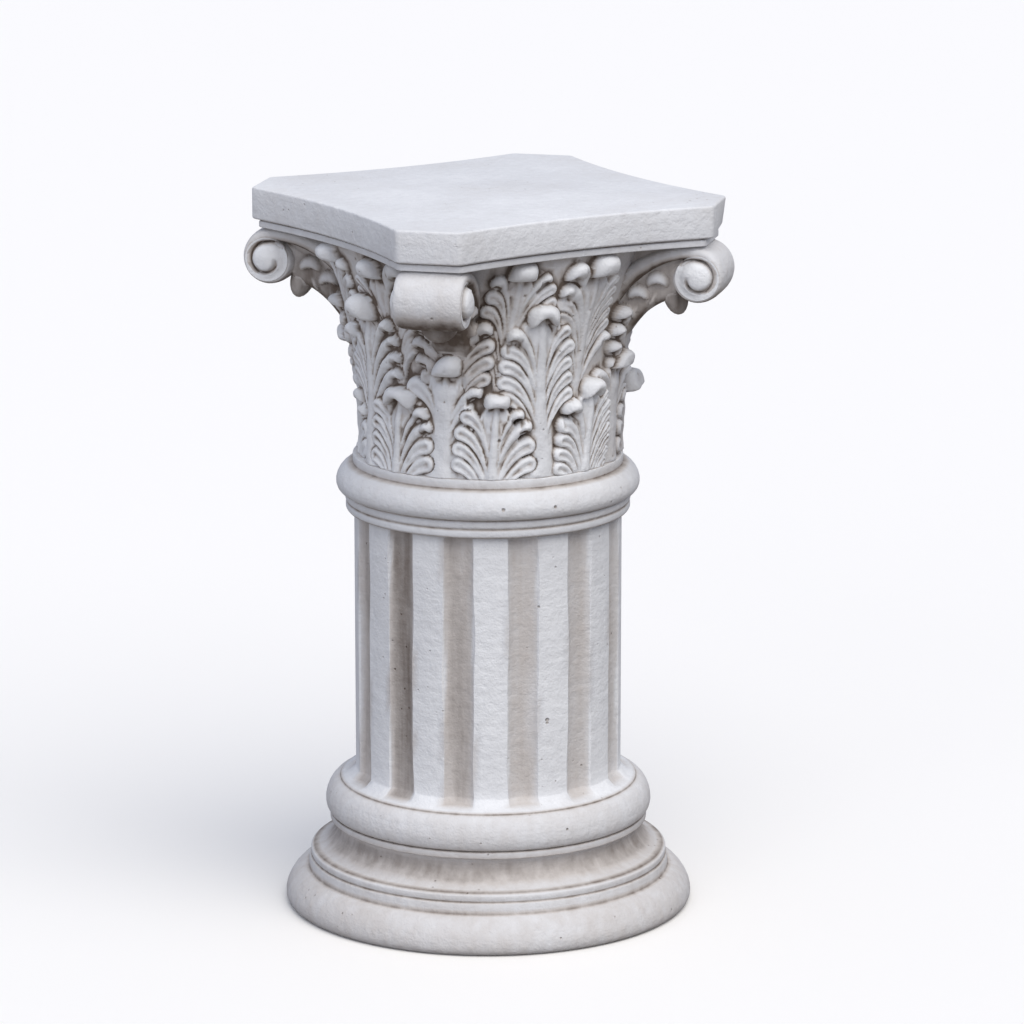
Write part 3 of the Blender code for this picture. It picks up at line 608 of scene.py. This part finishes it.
def flat_sheet(columns, rows):
    """A flat sheet from -1 to 1 each way, to be rolled into a body."""
    bm = bmesh.new()
    bmesh.ops.create_grid(bm, x_segments=columns, y_segments=rows, size=1.0)
    sheet = bpy.data.meshes.new("sheet")
    bm.to_mesh(sheet)
    bm.free()
    return sheet


def rolled(sheet, places, glaze_and_shade):
    """The sheet with its points at their new places, carrying its wash of glaze and painted shade."""
    sheet.vertices.foreach_set("co", places.ravel())
    layer = sheet.attributes.new("glaze_and_shade", "FLOAT", "POINT")
    layer.data.foreach_set("value", glaze_and_shade.astype(np.float32))
    bm = bmesh.new()
    bm.from_mesh(sheet)
    bpy.data.meshes.remove(sheet)
    return bm


def closed(bm, seam):
    """A rolled body with its seam joined, its open ends filled and its faces turned outwards."""
    bmesh.ops.remove_doubles(bm, verts=seam, dist=1e-6)
    bmesh.ops.holes_fill(bm, edges=[edge for edge in bm.edges if edge.is_boundary], sides=0)
    bmesh.ops.recalc_face_normals(bm, faces=bm.faces)
    return bm


def leafy_bell(relief, droop, glaze_and_shade):
    """A sheet rolled into the bell, pushed out by the relief and lowered by the droop."""
    sheet = flat_sheet(BELL_COLUMNS, BELL_ROWS)
    flat = coordinates(sheet)
    column = np.round((flat[:, 0] + 1.0) / 2.0 * BELL_COLUMNS).astype(int) % BELL_COLUMNS
    row = np.round((flat[:, 1] + 1.0) / 2.0 * BELL_ROWS).astype(int)
    turn = column * 2.0 * math.pi / BELL_COLUMNS
    height = BELL_LOW + (BELL_HIGH - BELL_LOW) * row / BELL_ROWS
    out = bell_radius(height) + MM * relief[row, column]
    lowered = np.clip(height - MM * droop[row, column], BELL_LOW, BELL_HIGH)
    places = np.stack((out * np.sin(turn), -out * np.cos(turn), lowered), axis=1)
    bm = rolled(sheet, places, glaze_and_shade[row, column])
    return closed(bm, [vert for vert in bm.verts if vert.is_boundary])


relief, droop, stain_and_shade = leaf_field()
relief = hand_worked(0.60 * relief + 0.40 * blurred(relief, 1))
bell = cast_part("bell", leafy_bell(relief, blurred(droop, 1), bell_glaze_and_shade(relief, stain_and_shade)))

# The top slab and the thin band under it. A square tile with hollow sides and cut corners, its arrises rubbed
# soft and one lower corner worn away, cast on a slightly smaller band with a groove between the two. The
# groove
# is painted darkest: glaze, and painted shadow for the shade that fills it.
SLAB_SIDE = 0.310
SLAB_CORNER_CUT = 0.0366
SLAB_SIDE_HOLLOW = 0.012
SLAB_FOOT = 0.5735
COLUMN_TOP = cad_box[1][2]
SIDE_STEPS = 26
UPRIGHT_ROUNDING = 0.0030
SLAB_RIM, SLAB_WASH = 0.0020, 0.13
SLAB_EDGE, SLAB_EDGE_WASH = 0.0016, 0.38
# The groove under the slab is painted darkest: glaze, and painted shadow for the shade that fills it.
GROOVE_INSET, GROOVE_RIM, SLAB_GROOVE_GLAZE_AND_SHADE = 0.0065, 0.0004, 1.0
BAND_INSET, BAND_RIM, BAND_WASH = 0.0040, 0.0010, 0.16
CHIP = Vector((0.1550, -0.1184, SLAB_FOOT))
CHIP_REACH = 0.0085
CHIP_PUSH = Vector((-0.0034, 0.0012, 0.0042))


def at_turn(turn, out, along, height):
    """A point at an angle from the front: out from the axis, along the tangent, and up."""
    sine, cosine = math.sin(turn), math.cos(turn)
    return Vector((out * sine + along * cosine, along * sine - out * cosine, height))


def rounded_edges(bm, sharper_than, offset, segments, upright=False):
    """The edges that turn by more than an angle, or only the upright ones of them, rounded off."""
    edges = [edge for edge in bm.edges if edge.calc_face_angle(0.0) > sharper_than]
    if upright:
        edges = [edge for edge in edges if abs(edge.verts[0].co.z - edge.verts[1].co.z) > 1e-4]
    bmesh.ops.bevel(
        bm, geom=edges, offset=offset, offset_type="OFFSET", affect="EDGES", segments=segments, profile=0.5,
        material=-1,
    )


def slab_layer(name, inset, low, high, rim, glaze_and_shade):
    """A tile of the slab's outline moved in by inset, with its upright corners and its rims rounded."""
    bm = bmesh.new()
    half = SLAB_SIDE / 2.0 - inset
    outline = []
    for side in range(4):
        for step in range(SIDE_STEPS + 1):
            share = step / SIDE_STEPS
            along = (half - SLAB_CORNER_CUT) * (2.0 * share - 1.0)
            out = half - SLAB_SIDE_HOLLOW * 4.0 * share * (1.0 - share)
            outline.append(bm.verts.new(at_turn(side * math.pi / 2.0, out, along, low)))
    face = bm.faces.new(outline)
    pushed = bmesh.ops.extrude_face_region(bm, geom=[face])
    moved = [item for item in pushed["geom"] if isinstance(item, bmesh.types.BMVert)]
    bmesh.ops.translate(bm, vec=(0.0, 0.0, high - low), verts=moved)
    bmesh.ops.recalc_face_normals(bm, faces=bm.faces)
    rounded_edges(bm, math.radians(25.0), UPRIGHT_ROUNDING, 3, upright=True)
    rounded_edges(bm, math.radians(60.0), rim, 4)
    return cast_part(name, bm, glaze_and_shade)


def slab_wash(mesh):
    """The slab is clean apart from a little glaze along its lower edge."""
    height = coordinates(mesh)[:, 2]
    return np.maximum(SLAB_WASH, SLAB_EDGE_WASH * ramp(SLAB_FOOT + SLAB_EDGE, SLAB_FOOT, height))


slab = slab_layer("slab", 0.0, SLAB_FOOT, COLUMN_TOP, SLAB_RIM, slab_wash)
for vert in slab.data.vertices:
    worn = 1.0 - (vert.co - CHIP).length / CHIP_REACH
    if worn > 0.0:
        vert.co += CHIP_PUSH * worn ** 0.6
slab_layer("groove", GROOVE_INSET, SLAB_FOOT - 0.0030, SLAB_FOOT + 0.0040, GROOVE_RIM, SLAB_GROOVE_GLAZE_AND_SHADE)
slab_layer("band", BAND_INSET, BAND_FOOT - 0.0002, SLAB_FOOT - 0.0014, BAND_RIM, BAND_WASH)

# The four corner scrolls. A thick band springs from the bell, runs out under the slab's corner and rolls in
# on itself until it swells into a ball. A leaf carries it from below, with curled lobes and a drooping tip.
# Cast with the rest.
SCROLL_OUT = 0.1778
SCROLL_UP = 0.5408
SCROLL_RADIUS = 0.0254
SCROLL_WIND_IN = 0.0112
SCROLL_HALF_WIDTH = 0.0280
SCROLL_BAND = 0.0110
SCROLL_TURNS = 1.05
SCROLL_AROUND = 24
ARM_STEPS = 14
COIL_STEPS = 52
ARM_ROOT = Vector((0.1060, 0.5180))
ARM_BEND = Vector((0.1330, 0.5590))
# The band's plain glaze, and the painted shade inside its roll and on its lower half, where little light
# falls.
SCROLL_WASH, SCROLL_INSIDE_AND_UNDER_SHADE = 0.27, 0.95
BALL_OUT = 0.1805
BALL_UP = 0.5405
BALL_RADIUS = 0.0140
BALL_STAND = 0.0056
BALL_WASH = 0.08
GROOVE_START = math.radians(150.0)
GROOVE_FADING = math.radians(285.0)
GROOVE_END = math.radians(350.0)
GROOVE_TURNS = np.radians((0.0, 60.0, 150.0, 225.0, 300.0, 350.0))
GROOVE_REACHES = (0.0178, 0.0142, 0.0134, 0.0114, 0.0093, 0.0076)
GROOVE_DEPTH = 0.0062
GROOVE_HALF_WIDTH = 0.0015
# The groove round the ball is painted dark: glaze, and painted shadow for the shade in it.
GROOVE_SHADE_AND_STAIN = 0.84
HEART_RADIUS = 0.0182
HEART_HALF_WIDTH = 0.0280
HEART_KEPT = 0.5
BELLY_ROOT = Vector((0.1030, 0.4560))
BELLY_BEND = Vector((0.1245, 0.5120))
BELLY_END = Vector((0.1600, 0.5210))
BELLY_SHARE = 0.0556
CROWN_OUT, CROWN_RUN = 0.1000, 0.0700
CROWN_UP, CROWN_RISE = 0.5150, 0.0545
LEAF_HALF_WIDTH = 0.0170
LEAF_AROUND = 72
LEAF_ALONG = 56
LEAF_KEPT = 0.4
LOBES = ((146.0, 535.5, 9.8), (130.0, 524.0, 9.4), (120.0, 508.0, 8.6))
LOBE_ROOT = (104.0, 458.0)
LOBE_STAND = 7.0
# How dark the leaves under the scrolls are painted: glaze and painted shade, darkest under the back scroll,
# which is turned furthest from the light.
SCROLL_SHADE_AT_BACK, SCROLL_SHADE_FALL = 1.35, 0.17
TIP_OUT, TIP_UP = 0.1568, 0.5228
TIP_RADII = (0.0168, 0.0098, 0.0182)
TIP_LEAN = -0.28
# The drooping tip is painted dark as painted shade, for the scroll's shadow over it.
TIP_SHADE = 0.82


def scroll_path(share):
    """Where the band's middle is, which way its outside faces, how thick and how wide it is."""
    arm_share = ARM_STEPS / (ARM_STEPS + COIL_STEPS)
    centre = Vector((SCROLL_OUT, SCROLL_UP))
    if share < arm_share:
        step = share / arm_share
        top = centre + Vector((0.0, SCROLL_RADIUS - SCROLL_BAND / 2.0))
        middle = (1 - step) ** 2 * ARM_ROOT + 2 * step * (1 - step) * ARM_BEND + step ** 2 * top
        run = (2 * (1 - step) * (ARM_BEND - ARM_ROOT) + 2 * step * (top - ARM_BEND)).normalized()
        thick = SCROLL_BAND * (1.0 + 0.75 * (1.0 - step) ** 1.5)
        return middle, Vector((-run.y, run.x)), thick, SCROLL_HALF_WIDTH * (0.74 + 0.26 * step ** 0.7)
    turns = (share - arm_share) / (1.0 - arm_share) * SCROLL_TURNS
    facing = Vector((math.sin(2.0 * math.pi * turns), math.cos(2.0 * math.pi * turns)))
    thick = SCROLL_BAND * (1.0 - 0.16 * turns)
    outer = SCROLL_RADIUS - SCROLL_WIND_IN * turns ** 1.7
    half_width = SCROLL_HALF_WIDTH * (1.0 - 0.05 * turns ** 2)
    return centre + facing * (outer - thick / 2.0), facing, thick, half_width


def scroll_glaze_and_shade(spot, cosine):
    """Plain glaze on the band, with painted shade inside the roll and on the outside of its lower half, where
    little light falls. cosine is 1 on the band's outside.
    """
    low = float(ramp(SCROLL_UP + 0.001, SCROLL_UP - 0.020, spot.y))
    inside = float(ramp(0.15, -0.5, cosine))
    below = SCROLL_INSIDE_AND_UNDER_SHADE * low * float(ramp(0.0, 0.7, cosine))
    return max(SCROLL_WASH, below, SCROLL_INSIDE_AND_UNDER_SHADE * inside)


def wound_band(turn):
    """A sheet rolled into a tube of rounded-oblong section and laid along the scroll's path."""
    bm = bmesh.new()
    bmesh.ops.create_grid(bm, x_segments=SCROLL_AROUND, y_segments=ARM_STEPS + COIL_STEPS, size=1.0)
    layer = bm.verts.layers.float.new("glaze_and_shade")
    for vert in bm.verts:
        round_turn = math.pi * (vert.co.x + 1.0)
        middle, facing, thick, half_width = scroll_path((vert.co.y + 1.0) / 2.0)
        sine, cosine = math.sin(round_turn), math.cos(round_turn)
        side = math.copysign(abs(sine) ** 0.50, sine) * half_width
        stand = math.copysign(abs(cosine) ** 0.62, cosine) * thick / 2.0
        spot = middle + facing * stand
        vert[layer] = scroll_glaze_and_shade(spot, cosine)
        vert.co = at_turn(turn, spot.x, side, spot.y)
    return closed(bm, bm.verts)


def scroll_heart(turn):
    """The scroll's filled middle. A groove winds in round the ball, dying out where the ball ends the band."""
    bm = bmesh.new()
    bmesh.ops.create_uvsphere(bm, u_segments=48, v_segments=38, radius=1.0)
    layer = bm.verts.layers.float.new("glaze_and_shade")
    for vert in bm.verts:
        reach = HEART_RADIUS * math.hypot(vert.co.x, vert.co.y)
        angle = math.atan2(vert.co.y, vert.co.x)
        wound = (GROOVE_START - angle) % (2.0 * math.pi)
        edge = float(np.interp(wound, GROOVE_TURNS, GROOVE_REACHES))
        fade = float(ramp(GROOVE_END, GROOVE_FADING, wound) * ramp(0.0, 0.25, wound))
        groove = fade * math.exp(-(((reach - edge) / GROOVE_HALF_WIDTH) ** 2))
        ball = max(0.0, 1.0 - (reach / BALL_RADIUS) ** 2) ** 0.75
        half_width = HEART_HALF_WIDTH + BALL_STAND * ball - GROOVE_DEPTH * groove
        side = math.copysign(half_width, vert.co.z) if abs(vert.co.z) > 1e-6 else 0.0
        # Glaze on the ball; the groove round it is painted dark as glaze and painted shadow.
        vert[layer] = BALL_WASH + GROOVE_SHADE_AND_STAIN * groove
        out = BALL_OUT + reach * math.cos(angle)
        vert.co = at_turn(turn, out, side, BALL_UP + reach * math.sin(angle))
    # Laying the ball on its side mirrors it, so its faces are turned outwards again.
    bmesh.ops.reverse_faces(bm, faces=bm.faces)
    return bm


def belly(share):
    """The underside of the leaf that carries the scroll, from the bell out to its drooping tip."""
    return (1 - share) ** 2 * BELLY_ROOT + 2 * share * (1 - share) * BELLY_BEND + share ** 2 * BELLY_END


def crown(share):
    """The hidden upper edge of the carrying leaf, inside the scroll's band."""
    rise = math.sin(0.5 * math.pi * min(1.0, share * 2.4))
    return Vector((CROWN_OUT + CROWN_RUN * share, CROWN_UP + CROWN_RISE * rise))


def lobed_side(out, up):
    """Relief of the carrying leaf's sides in millimetres: stems that climb outwards to curled lobes."""
    relief = np.zeros(out.shape)
    for middle, height, size in LOBES:
        bend = (middle - 2.0, height - 26.0)
        near, along = finger(out, up, LOBE_ROOT, bend, (middle, height), 12.0, 0.52)
        relief = np.maximum(relief, LOBE_STAND * (0.35 + 0.30 * along) * spoon(near, along, 0.3))
    for middle, height, size in LOBES:
        across, rise = out - middle, up - height + 0.25 * size
        relief = relief - LOBE_STAND * 0.8 * hollow_under(across, rise, size, 0.22 * size, 0.0)
        relief = np.maximum(relief, LOBE_STAND * curl(across, rise, size, 1.05 * size, 0.22 * size, 2.0))
    return relief


def scroll_leaf(turn, scroll_shade):
    """The leaf that carries the scroll: a rounded bar between its belly and its crown, with lobed sides."""
    sheet = flat_sheet(LEAF_AROUND, LEAF_ALONG)
    flat = coordinates(sheet)
    around, along = (flat[:, 0] + 1.0) / 2.0, (flat[:, 1] + 1.0) / 2.0
    flank = 1.0 - np.abs(1.0 - 2.0 * around)
    climb = np.clip((flank - BELLY_SHARE) / (1.0 - BELLY_SHARE), 0.0, 1.0)
    side = np.where(around < 0.5, 1.0, -1.0) * np.clip(flank / BELLY_SHARE, 0.0, 1.0)
    low = np.array([belly(share) for share in along])
    high = np.array([crown(share) for share in along])
    spot = low + (high - low) * climb[:, None]
    relief = lobed_side(spot[:, 0] / MM, spot[:, 1] / MM)
    eased = 1.0 - 0.30 * (1.0 - np.clip(climb / 0.16, 0.0, 1.0)) ** 2
    half_width = LEAF_HALF_WIDTH * eased + MM * relief * ramp(0.0, 0.10, climb)
    across = np.array([at_turn(turn, 0.0, 1.0, 0.0)[:]])
    middle = np.array([at_turn(turn, out, 0.0, up)[:] for out, up in spot])
    # Painted shade: the leaf under the scroll is darkened all over, more on its belly underneath and less
    # where its lobes stand out.
    glaze_and_shade = np.clip(0.68 * scroll_shade - 0.085 * relief + 0.30 * ramp(0.12, 0.0, climb), PLAIN_WASH, 1.0)
    bm = rolled(sheet, middle + across * (side * half_width)[:, None], glaze_and_shade)
    return closed(bm, bm.verts)


def leaf_tip(turn):
    """The carrying leaf's drooping tip: a ball drawn out along, out and up, then leaned outwards."""
    bm = bmesh.new()
    bmesh.ops.create_uvsphere(bm, u_segments=24, v_segments=12, radius=1.0)
    bmesh.ops.scale(bm, vec=TIP_RADII, verts=bm.verts)
    bmesh.ops.rotate(bm, cent=(0, 0, 0), matrix=Matrix.Rotation(TIP_LEAN, 3, "X"), verts=bm.verts)
    bmesh.ops.rotate(bm, cent=(0, 0, 0), matrix=Matrix.Rotation(turn, 3, "Z"), verts=bm.verts)
    bmesh.ops.translate(bm, vec=at_turn(turn, TIP_OUT, 0.0, TIP_UP), verts=bm.verts)
    return bm


def settled(body):
    """The body's mesh with its modifiers worked in."""
    made = bpy.data.meshes.new_from_object(body.evaluated_get(bpy.context.evaluated_depsgraph_get()))
    body.modifiers.clear()
    body.data = made
    return body


def thinned(body, kept):
    """The body with its flatter places made of fewer, larger faces."""
    thin = body.modifiers.new("thin", "DECIMATE")
    thin.ratio = kept
    return settled(body)


for index in range(4):
    corner_turn = math.radians(45.0 + 90.0 * index)
    # The leaf under this scroll is painted darker as painted shade, most at the back corner, turned furthest
    # from the light.
    scroll_shade = SCROLL_SHADE_AT_BACK - SCROLL_SHADE_FALL * abs(index - 2)
    cast_part(f"scroll_{index}", wound_band(corner_turn))
    thinned(cast_part(f"heart_{index}", scroll_heart(corner_turn)), HEART_KEPT)
    thinned(cast_part(f"scroll_leaf_{index}", scroll_leaf(corner_turn, scroll_shade)), LEAF_KEPT)
    # The drooping tip is painted dark, as painted shade under the scroll.
    cast_part(f"leaf_tip_{index}", leaf_tip(corner_turn), TIP_SHADE)

# The whole column is one casting, so its parts are joined into one skin. The bell's plainer stretches get
# fewer, larger faces first, and points that the joining cuts get the glaze that gathers in such corners.
BELL_KEPT = 0.25
SEAM_WASH = 0.55
SHARP_ANGLE = math.radians(48.0)
thinned(bell, BELL_KEPT)
column = bpy.data.objects.new("column_casting", turned.data)
bpy.context.scene.collection.objects.link(column)
bpy.data.objects.remove(turned)
joint = column.modifiers.new("cast_together", "BOOLEAN")
joint.operation = "UNION"
joint.solver = "MANIFOLD"
joint.operand_type = "COLLECTION"
joint.collection = casting
settled(column)
for part in list(casting.objects):
    bpy.data.objects.remove(part)
layer = column.data.attributes["glaze_and_shade"]
amounts = np.empty(len(column.data.vertices), dtype=np.float32)
layer.data.foreach_get("value", amounts)
amounts[amounts < LEAST_WASH * 0.5] = SEAM_WASH
layer.data.foreach_set("value", amounts)
for polygon in column.data.polygons:
    polygon.use_smooth = True
column.data.set_sharp_from_angle(angle=SHARP_ANGLE)
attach(column, "root")
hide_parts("column")

# The finish: an off-white masonry paint over the cast stone, wiped with a taupe glaze that has stayed in the
# flutes, hollows and lines, made darker still as painted shade in deep hollows, under the scrolls and on the
# side turned from the light. Faint brush streaks, runs, small air holes, a few chips and a chalky surface.
# A flaw is given by its degrees from the front, its distance from the axis, its height and its size.
CHALK_WHITE = (0.82, 0.815, 0.81, 1.0)
WORN_WHITE, WORN_AT = (0.735, 0.73, 0.73, 1.0), 0.13
TAUPE, TAUPE_AT = (0.545, 0.500, 0.463, 1.0), 0.55
# The darkest glaze, also the colour of the painted shade in the deepest places.
DARK_TAUPE_AND_SHADE = (0.15, 0.115, 0.090, 1.0)
EVEN = (1.0, 1.0, 1.0)
UPRIGHT_RUNS = (95.0, 95.0, 9.0)
LEVEL_STROKES = (9.0, 9.0, 150.0)
RUN_SWING, RUN_LEAST = 0.8, 0.60
WIPED_OFF = -0.275
SHEEN = 0.25
ROUGH_LEAST, ROUGH_SWING = 0.66, 0.30
BUMP_STRENGTH, BUMP_HEIGHT = 0.70, 0.0016
FLAWS = (
    (-5.2, 0.1107, 0.1800, 0.0022), (-5.2, 0.1107, 0.1778, 0.0016), (-9.4, 0.1107, 0.2760, 0.0017),
    (-25.3, 0.1250, 0.3619, 0.0018), (-5.3, 0.1250, 0.3616, 0.0017), (-10.6, 0.1700, 0.0131, 0.0016),
    (-12.1, 0.1700, 0.0153, 0.0012), (-8.3, 0.1350, 0.1025, 0.0014), (-5.2, 0.1350, 0.0990, 0.0012),
    (-2.5, 0.1350, 0.0930, 0.0012), (-26.3, 0.1120, 0.4158, 0.0018), (-7.1, 0.1120, 0.4228, 0.0016),
    (-6.2, 0.1120, 0.4095, 0.0015), (-43.6, 0.1990, 0.5326, 0.0018),
)

paint = bpy.data.materials.new("painted_cast_stone")
paint.use_nodes = True
column.data.materials.clear()
column.data.materials.append(paint)
nodes, links = paint.node_tree.nodes, paint.node_tree.links
shader = nodes["Principled BSDF"]
shader.inputs["Specular IOR Level"].default_value = SHEEN
place = nodes.new("ShaderNodeTexCoord").outputs["Object"]
glaze_and_shade = nodes.new("ShaderNodeAttribute")
glaze_and_shade.attribute_name = "glaze_and_shade"


def worked(operation, first, second, third=None):
    """One step of sums on the finish: each value is a number or another step's output."""
    step = nodes.new("ShaderNodeMath")
    step.operation = operation
    for socket, value in zip(step.inputs, (first, second, third)):
        if isinstance(value, bpy.types.NodeSocket):
            links.new(value, socket)
        elif value is not None:
            socket.default_value = value
    return step.outputs["Value"]


def layered(start, *effects):
    """The start value with a share of each effect added to it."""
    for effect, share in effects:
        start = worked("MULTIPLY_ADD", effect, share, start)
    return start


def blotches(scale, stretch, detail):
    """Cloudy variation. stretch draws it out: upwards for runs of glaze, sideways for brush strokes."""
    drawn = nodes.new("ShaderNodeMapping")
    drawn.inputs["Scale"].default_value = stretch
    links.new(place, drawn.inputs["Vector"])
    cloud = nodes.new("ShaderNodeTexNoise")
    cloud.inputs["Scale"].default_value = scale
    cloud.inputs["Detail"].default_value = detail
    links.new(drawn.outputs["Vector"], cloud.inputs["Vector"])
    return cloud.outputs["Fac"]


def spotted(distance, size, core):
    """1 in the middle of a spot, falling to 0 at its size."""
    edge = nodes.new("ShaderNodeMapRange")
    edge.inputs["From Min"].default_value = size
    edge.inputs["From Max"].default_value = core * size
    links.new(distance, edge.inputs["Value"])
    return edge.outputs["Result"]


def air_holes(scale, size):
    """Small air holes, scattered over the surface."""
    cells = nodes.new("ShaderNodeTexVoronoi")
    cells.inputs["Scale"].default_value = scale
    links.new(place, cells.inputs["Vector"])
    return spotted(cells.outputs["Distance"], size, 0.3)


def flaw(turn, out, height, size):
    """One chip or nick that the weather has darkened."""
    reach = nodes.new("ShaderNodeVectorMath")
    reach.operation = "DISTANCE"
    links.new(place, reach.inputs[0])
    reach.inputs[1].default_value = at_turn(math.radians(turn), out, 0.0, height)
    return spotted(reach.outputs["Value"], size, 0.4)


patches = blotches(14.0, EVEN, 4.0)
runs = blotches(1.0, UPRIGHT_RUNS, 3.0)
strokes = blotches(1.0, LEVEL_STROKES, 3.0)
crumbs = blotches(150.0, EVEN, 4.0)
grain = blotches(520.0, EVEN, 2.0)
holes = worked("MULTIPLY", air_holes(105.0, 0.12), worked("GREATER_THAN", patches, 0.56))
chips = 0.0
for mark in FLAWS:
    chips = worked("MAXIMUM", flaw(*mark), chips)

streaks = worked("MULTIPLY_ADD", runs, RUN_SWING, RUN_LEAST)
# The glaze and painted shade carried by the mesh, broken up by runs.
glaze_and_painted_shade = worked("MULTIPLY_ADD", streaks, glaze_and_shade.outputs["Fac"], WIPED_OFF)
glaze_and_painted_shade = layered(glaze_and_painted_shade, (patches, 0.34), (crumbs, 0.16), (strokes, 0.06), (holes, 0.30), (chips, 0.55))
tone = nodes.new("ShaderNodeValToRGB")
tone.color_ramp.elements[0].color = CHALK_WHITE
tone.color_ramp.elements[1].color = DARK_TAUPE_AND_SHADE
tone.color_ramp.elements.new(WORN_AT).color = WORN_WHITE
tone.color_ramp.elements.new(TAUPE_AT).color = TAUPE
links.new(glaze_and_painted_shade, tone.inputs["Fac"])
links.new(tone.outputs["Color"], shader.inputs["Base Color"])
links.new(worked("MULTIPLY_ADD", crumbs, ROUGH_SWING, ROUGH_LEAST), shader.inputs["Roughness"])
bumps = layered(worked("MULTIPLY", crumbs, 0.9), (grain, 0.35), (strokes, 0.35), (holes, -0.7), (chips, -1.6))
bump = nodes.new("ShaderNodeBump")
bump.inputs["Strength"].default_value = BUMP_STRENGTH
bump.inputs["Distance"].default_value = BUMP_HEIGHT
links.new(bumps, bump.inputs["Height"])
links.new(bump.outputs["Normal"], shader.inputs["Normal"])

# The studio: a plain pale floor, soft light from all round, a broad sky light from above the front and a
# weaker window light from the left, with the camera where the photograph was taken from.
FLOOR_HALF_SIDE = 30.0
FLOOR_ROUGHNESS = 0.9
FLOOR_LIT = (0.19, 0.17, 0.148, 1.0)
FLOOR_SEEN = (0.97, 0.94, 0.89, 1.0)
ROOM_COLOUR, ROOM_LIGHT = (0.85, 0.94, 1.18, 1.0), 0.47
CAMERA_REACH = 4.0685
CAMERA_HEIGHT = 1.2935
CAMERA_TURN = math.radians(-31.0)
CAMERA_SWING = math.radians(-31.28)
CAMERA_DIP = math.radians(13.31)
FOCAL_PIXELS = 5048.84
IMAGE_PIXELS = 1024
SENSOR_WIDTH = 36.0

bm = bmesh.new()
bmesh.ops.create_grid(bm, x_segments=1, y_segments=1, size=FLOOR_HALF_SIDE)
floor_mesh = bpy.data.meshes.new("floor")
bm.to_mesh(floor_mesh)
bm.free()
floor = bpy.data.objects.new("floor", floor_mesh)
bpy.context.scene.collection.objects.link(floor)
floor_paint = bpy.data.materials.new("pale_floor")
floor_paint.use_nodes = True
nodes, links = floor_paint.node_tree.nodes, floor_paint.node_tree.links
nodes["Principled BSDF"].inputs["Roughness"].default_value = FLOOR_ROUGHNESS
ray = nodes.new("ShaderNodeLightPath")
shade = nodes.new("ShaderNodeMix")
shade.data_type = "RGBA"
shade.inputs["A"].default_value = FLOOR_LIT
shade.inputs["B"].default_value = FLOOR_SEEN
links.new(ray.outputs["Is Camera Ray"], shade.inputs["Factor"])
links.new(shade.outputs["Result"], nodes["Principled BSDF"].inputs["Base Color"])
floor_mesh.materials.append(floor_paint)

world = bpy.data.worlds.new("studio")
world.use_nodes = True
world.node_tree.nodes["Background"].inputs["Color"].default_value = ROOM_COLOUR
world.node_tree.nodes["Background"].inputs["Strength"].default_value = ROOM_LIGHT
bpy.context.scene.world = world


def soft_sun(name, toward, strength, spread, colour):
    """A broad, far light: toward is the way from the column to the light, spread its width in degrees."""
    lamp = bpy.data.lights.new(name, "SUN")
    lamp.energy = strength
    lamp.angle = math.radians(spread)
    lamp.color = colour
    body = bpy.data.objects.new(name, lamp)
    body.rotation_euler = Vector(toward).to_track_quat("Z", "Y").to_euler()
    bpy.context.scene.collection.objects.link(body)


soft_sun("sky_light", (-0.02, -0.57, 0.82), 2.18, 58.0, (1.0, 0.975, 0.93))
soft_sun("window_light", (-0.84, -0.50, 0.18), 0.80, 50.0, (0.92, 0.96, 1.06))
camera_data = bpy.data.cameras.new("camera")
camera_data.sensor_width = SENSOR_WIDTH
camera_data.lens = FOCAL_PIXELS / IMAGE_PIXELS * SENSOR_WIDTH
camera_data.clip_end = 100.0
camera = bpy.data.objects.new("camera", camera_data)
camera.location = at_turn(CAMERA_TURN, CAMERA_REACH, 0.0, CAMERA_HEIGHT)
camera.rotation_euler = (math.pi / 2.0 - CAMERA_DIP, 0.0, CAMERA_SWING)
bpy.context.scene.collection.objects.link(camera)
bpy.context.scene.camera = camera
bpy.context.scene.view_settings.view_transform = "Standard"
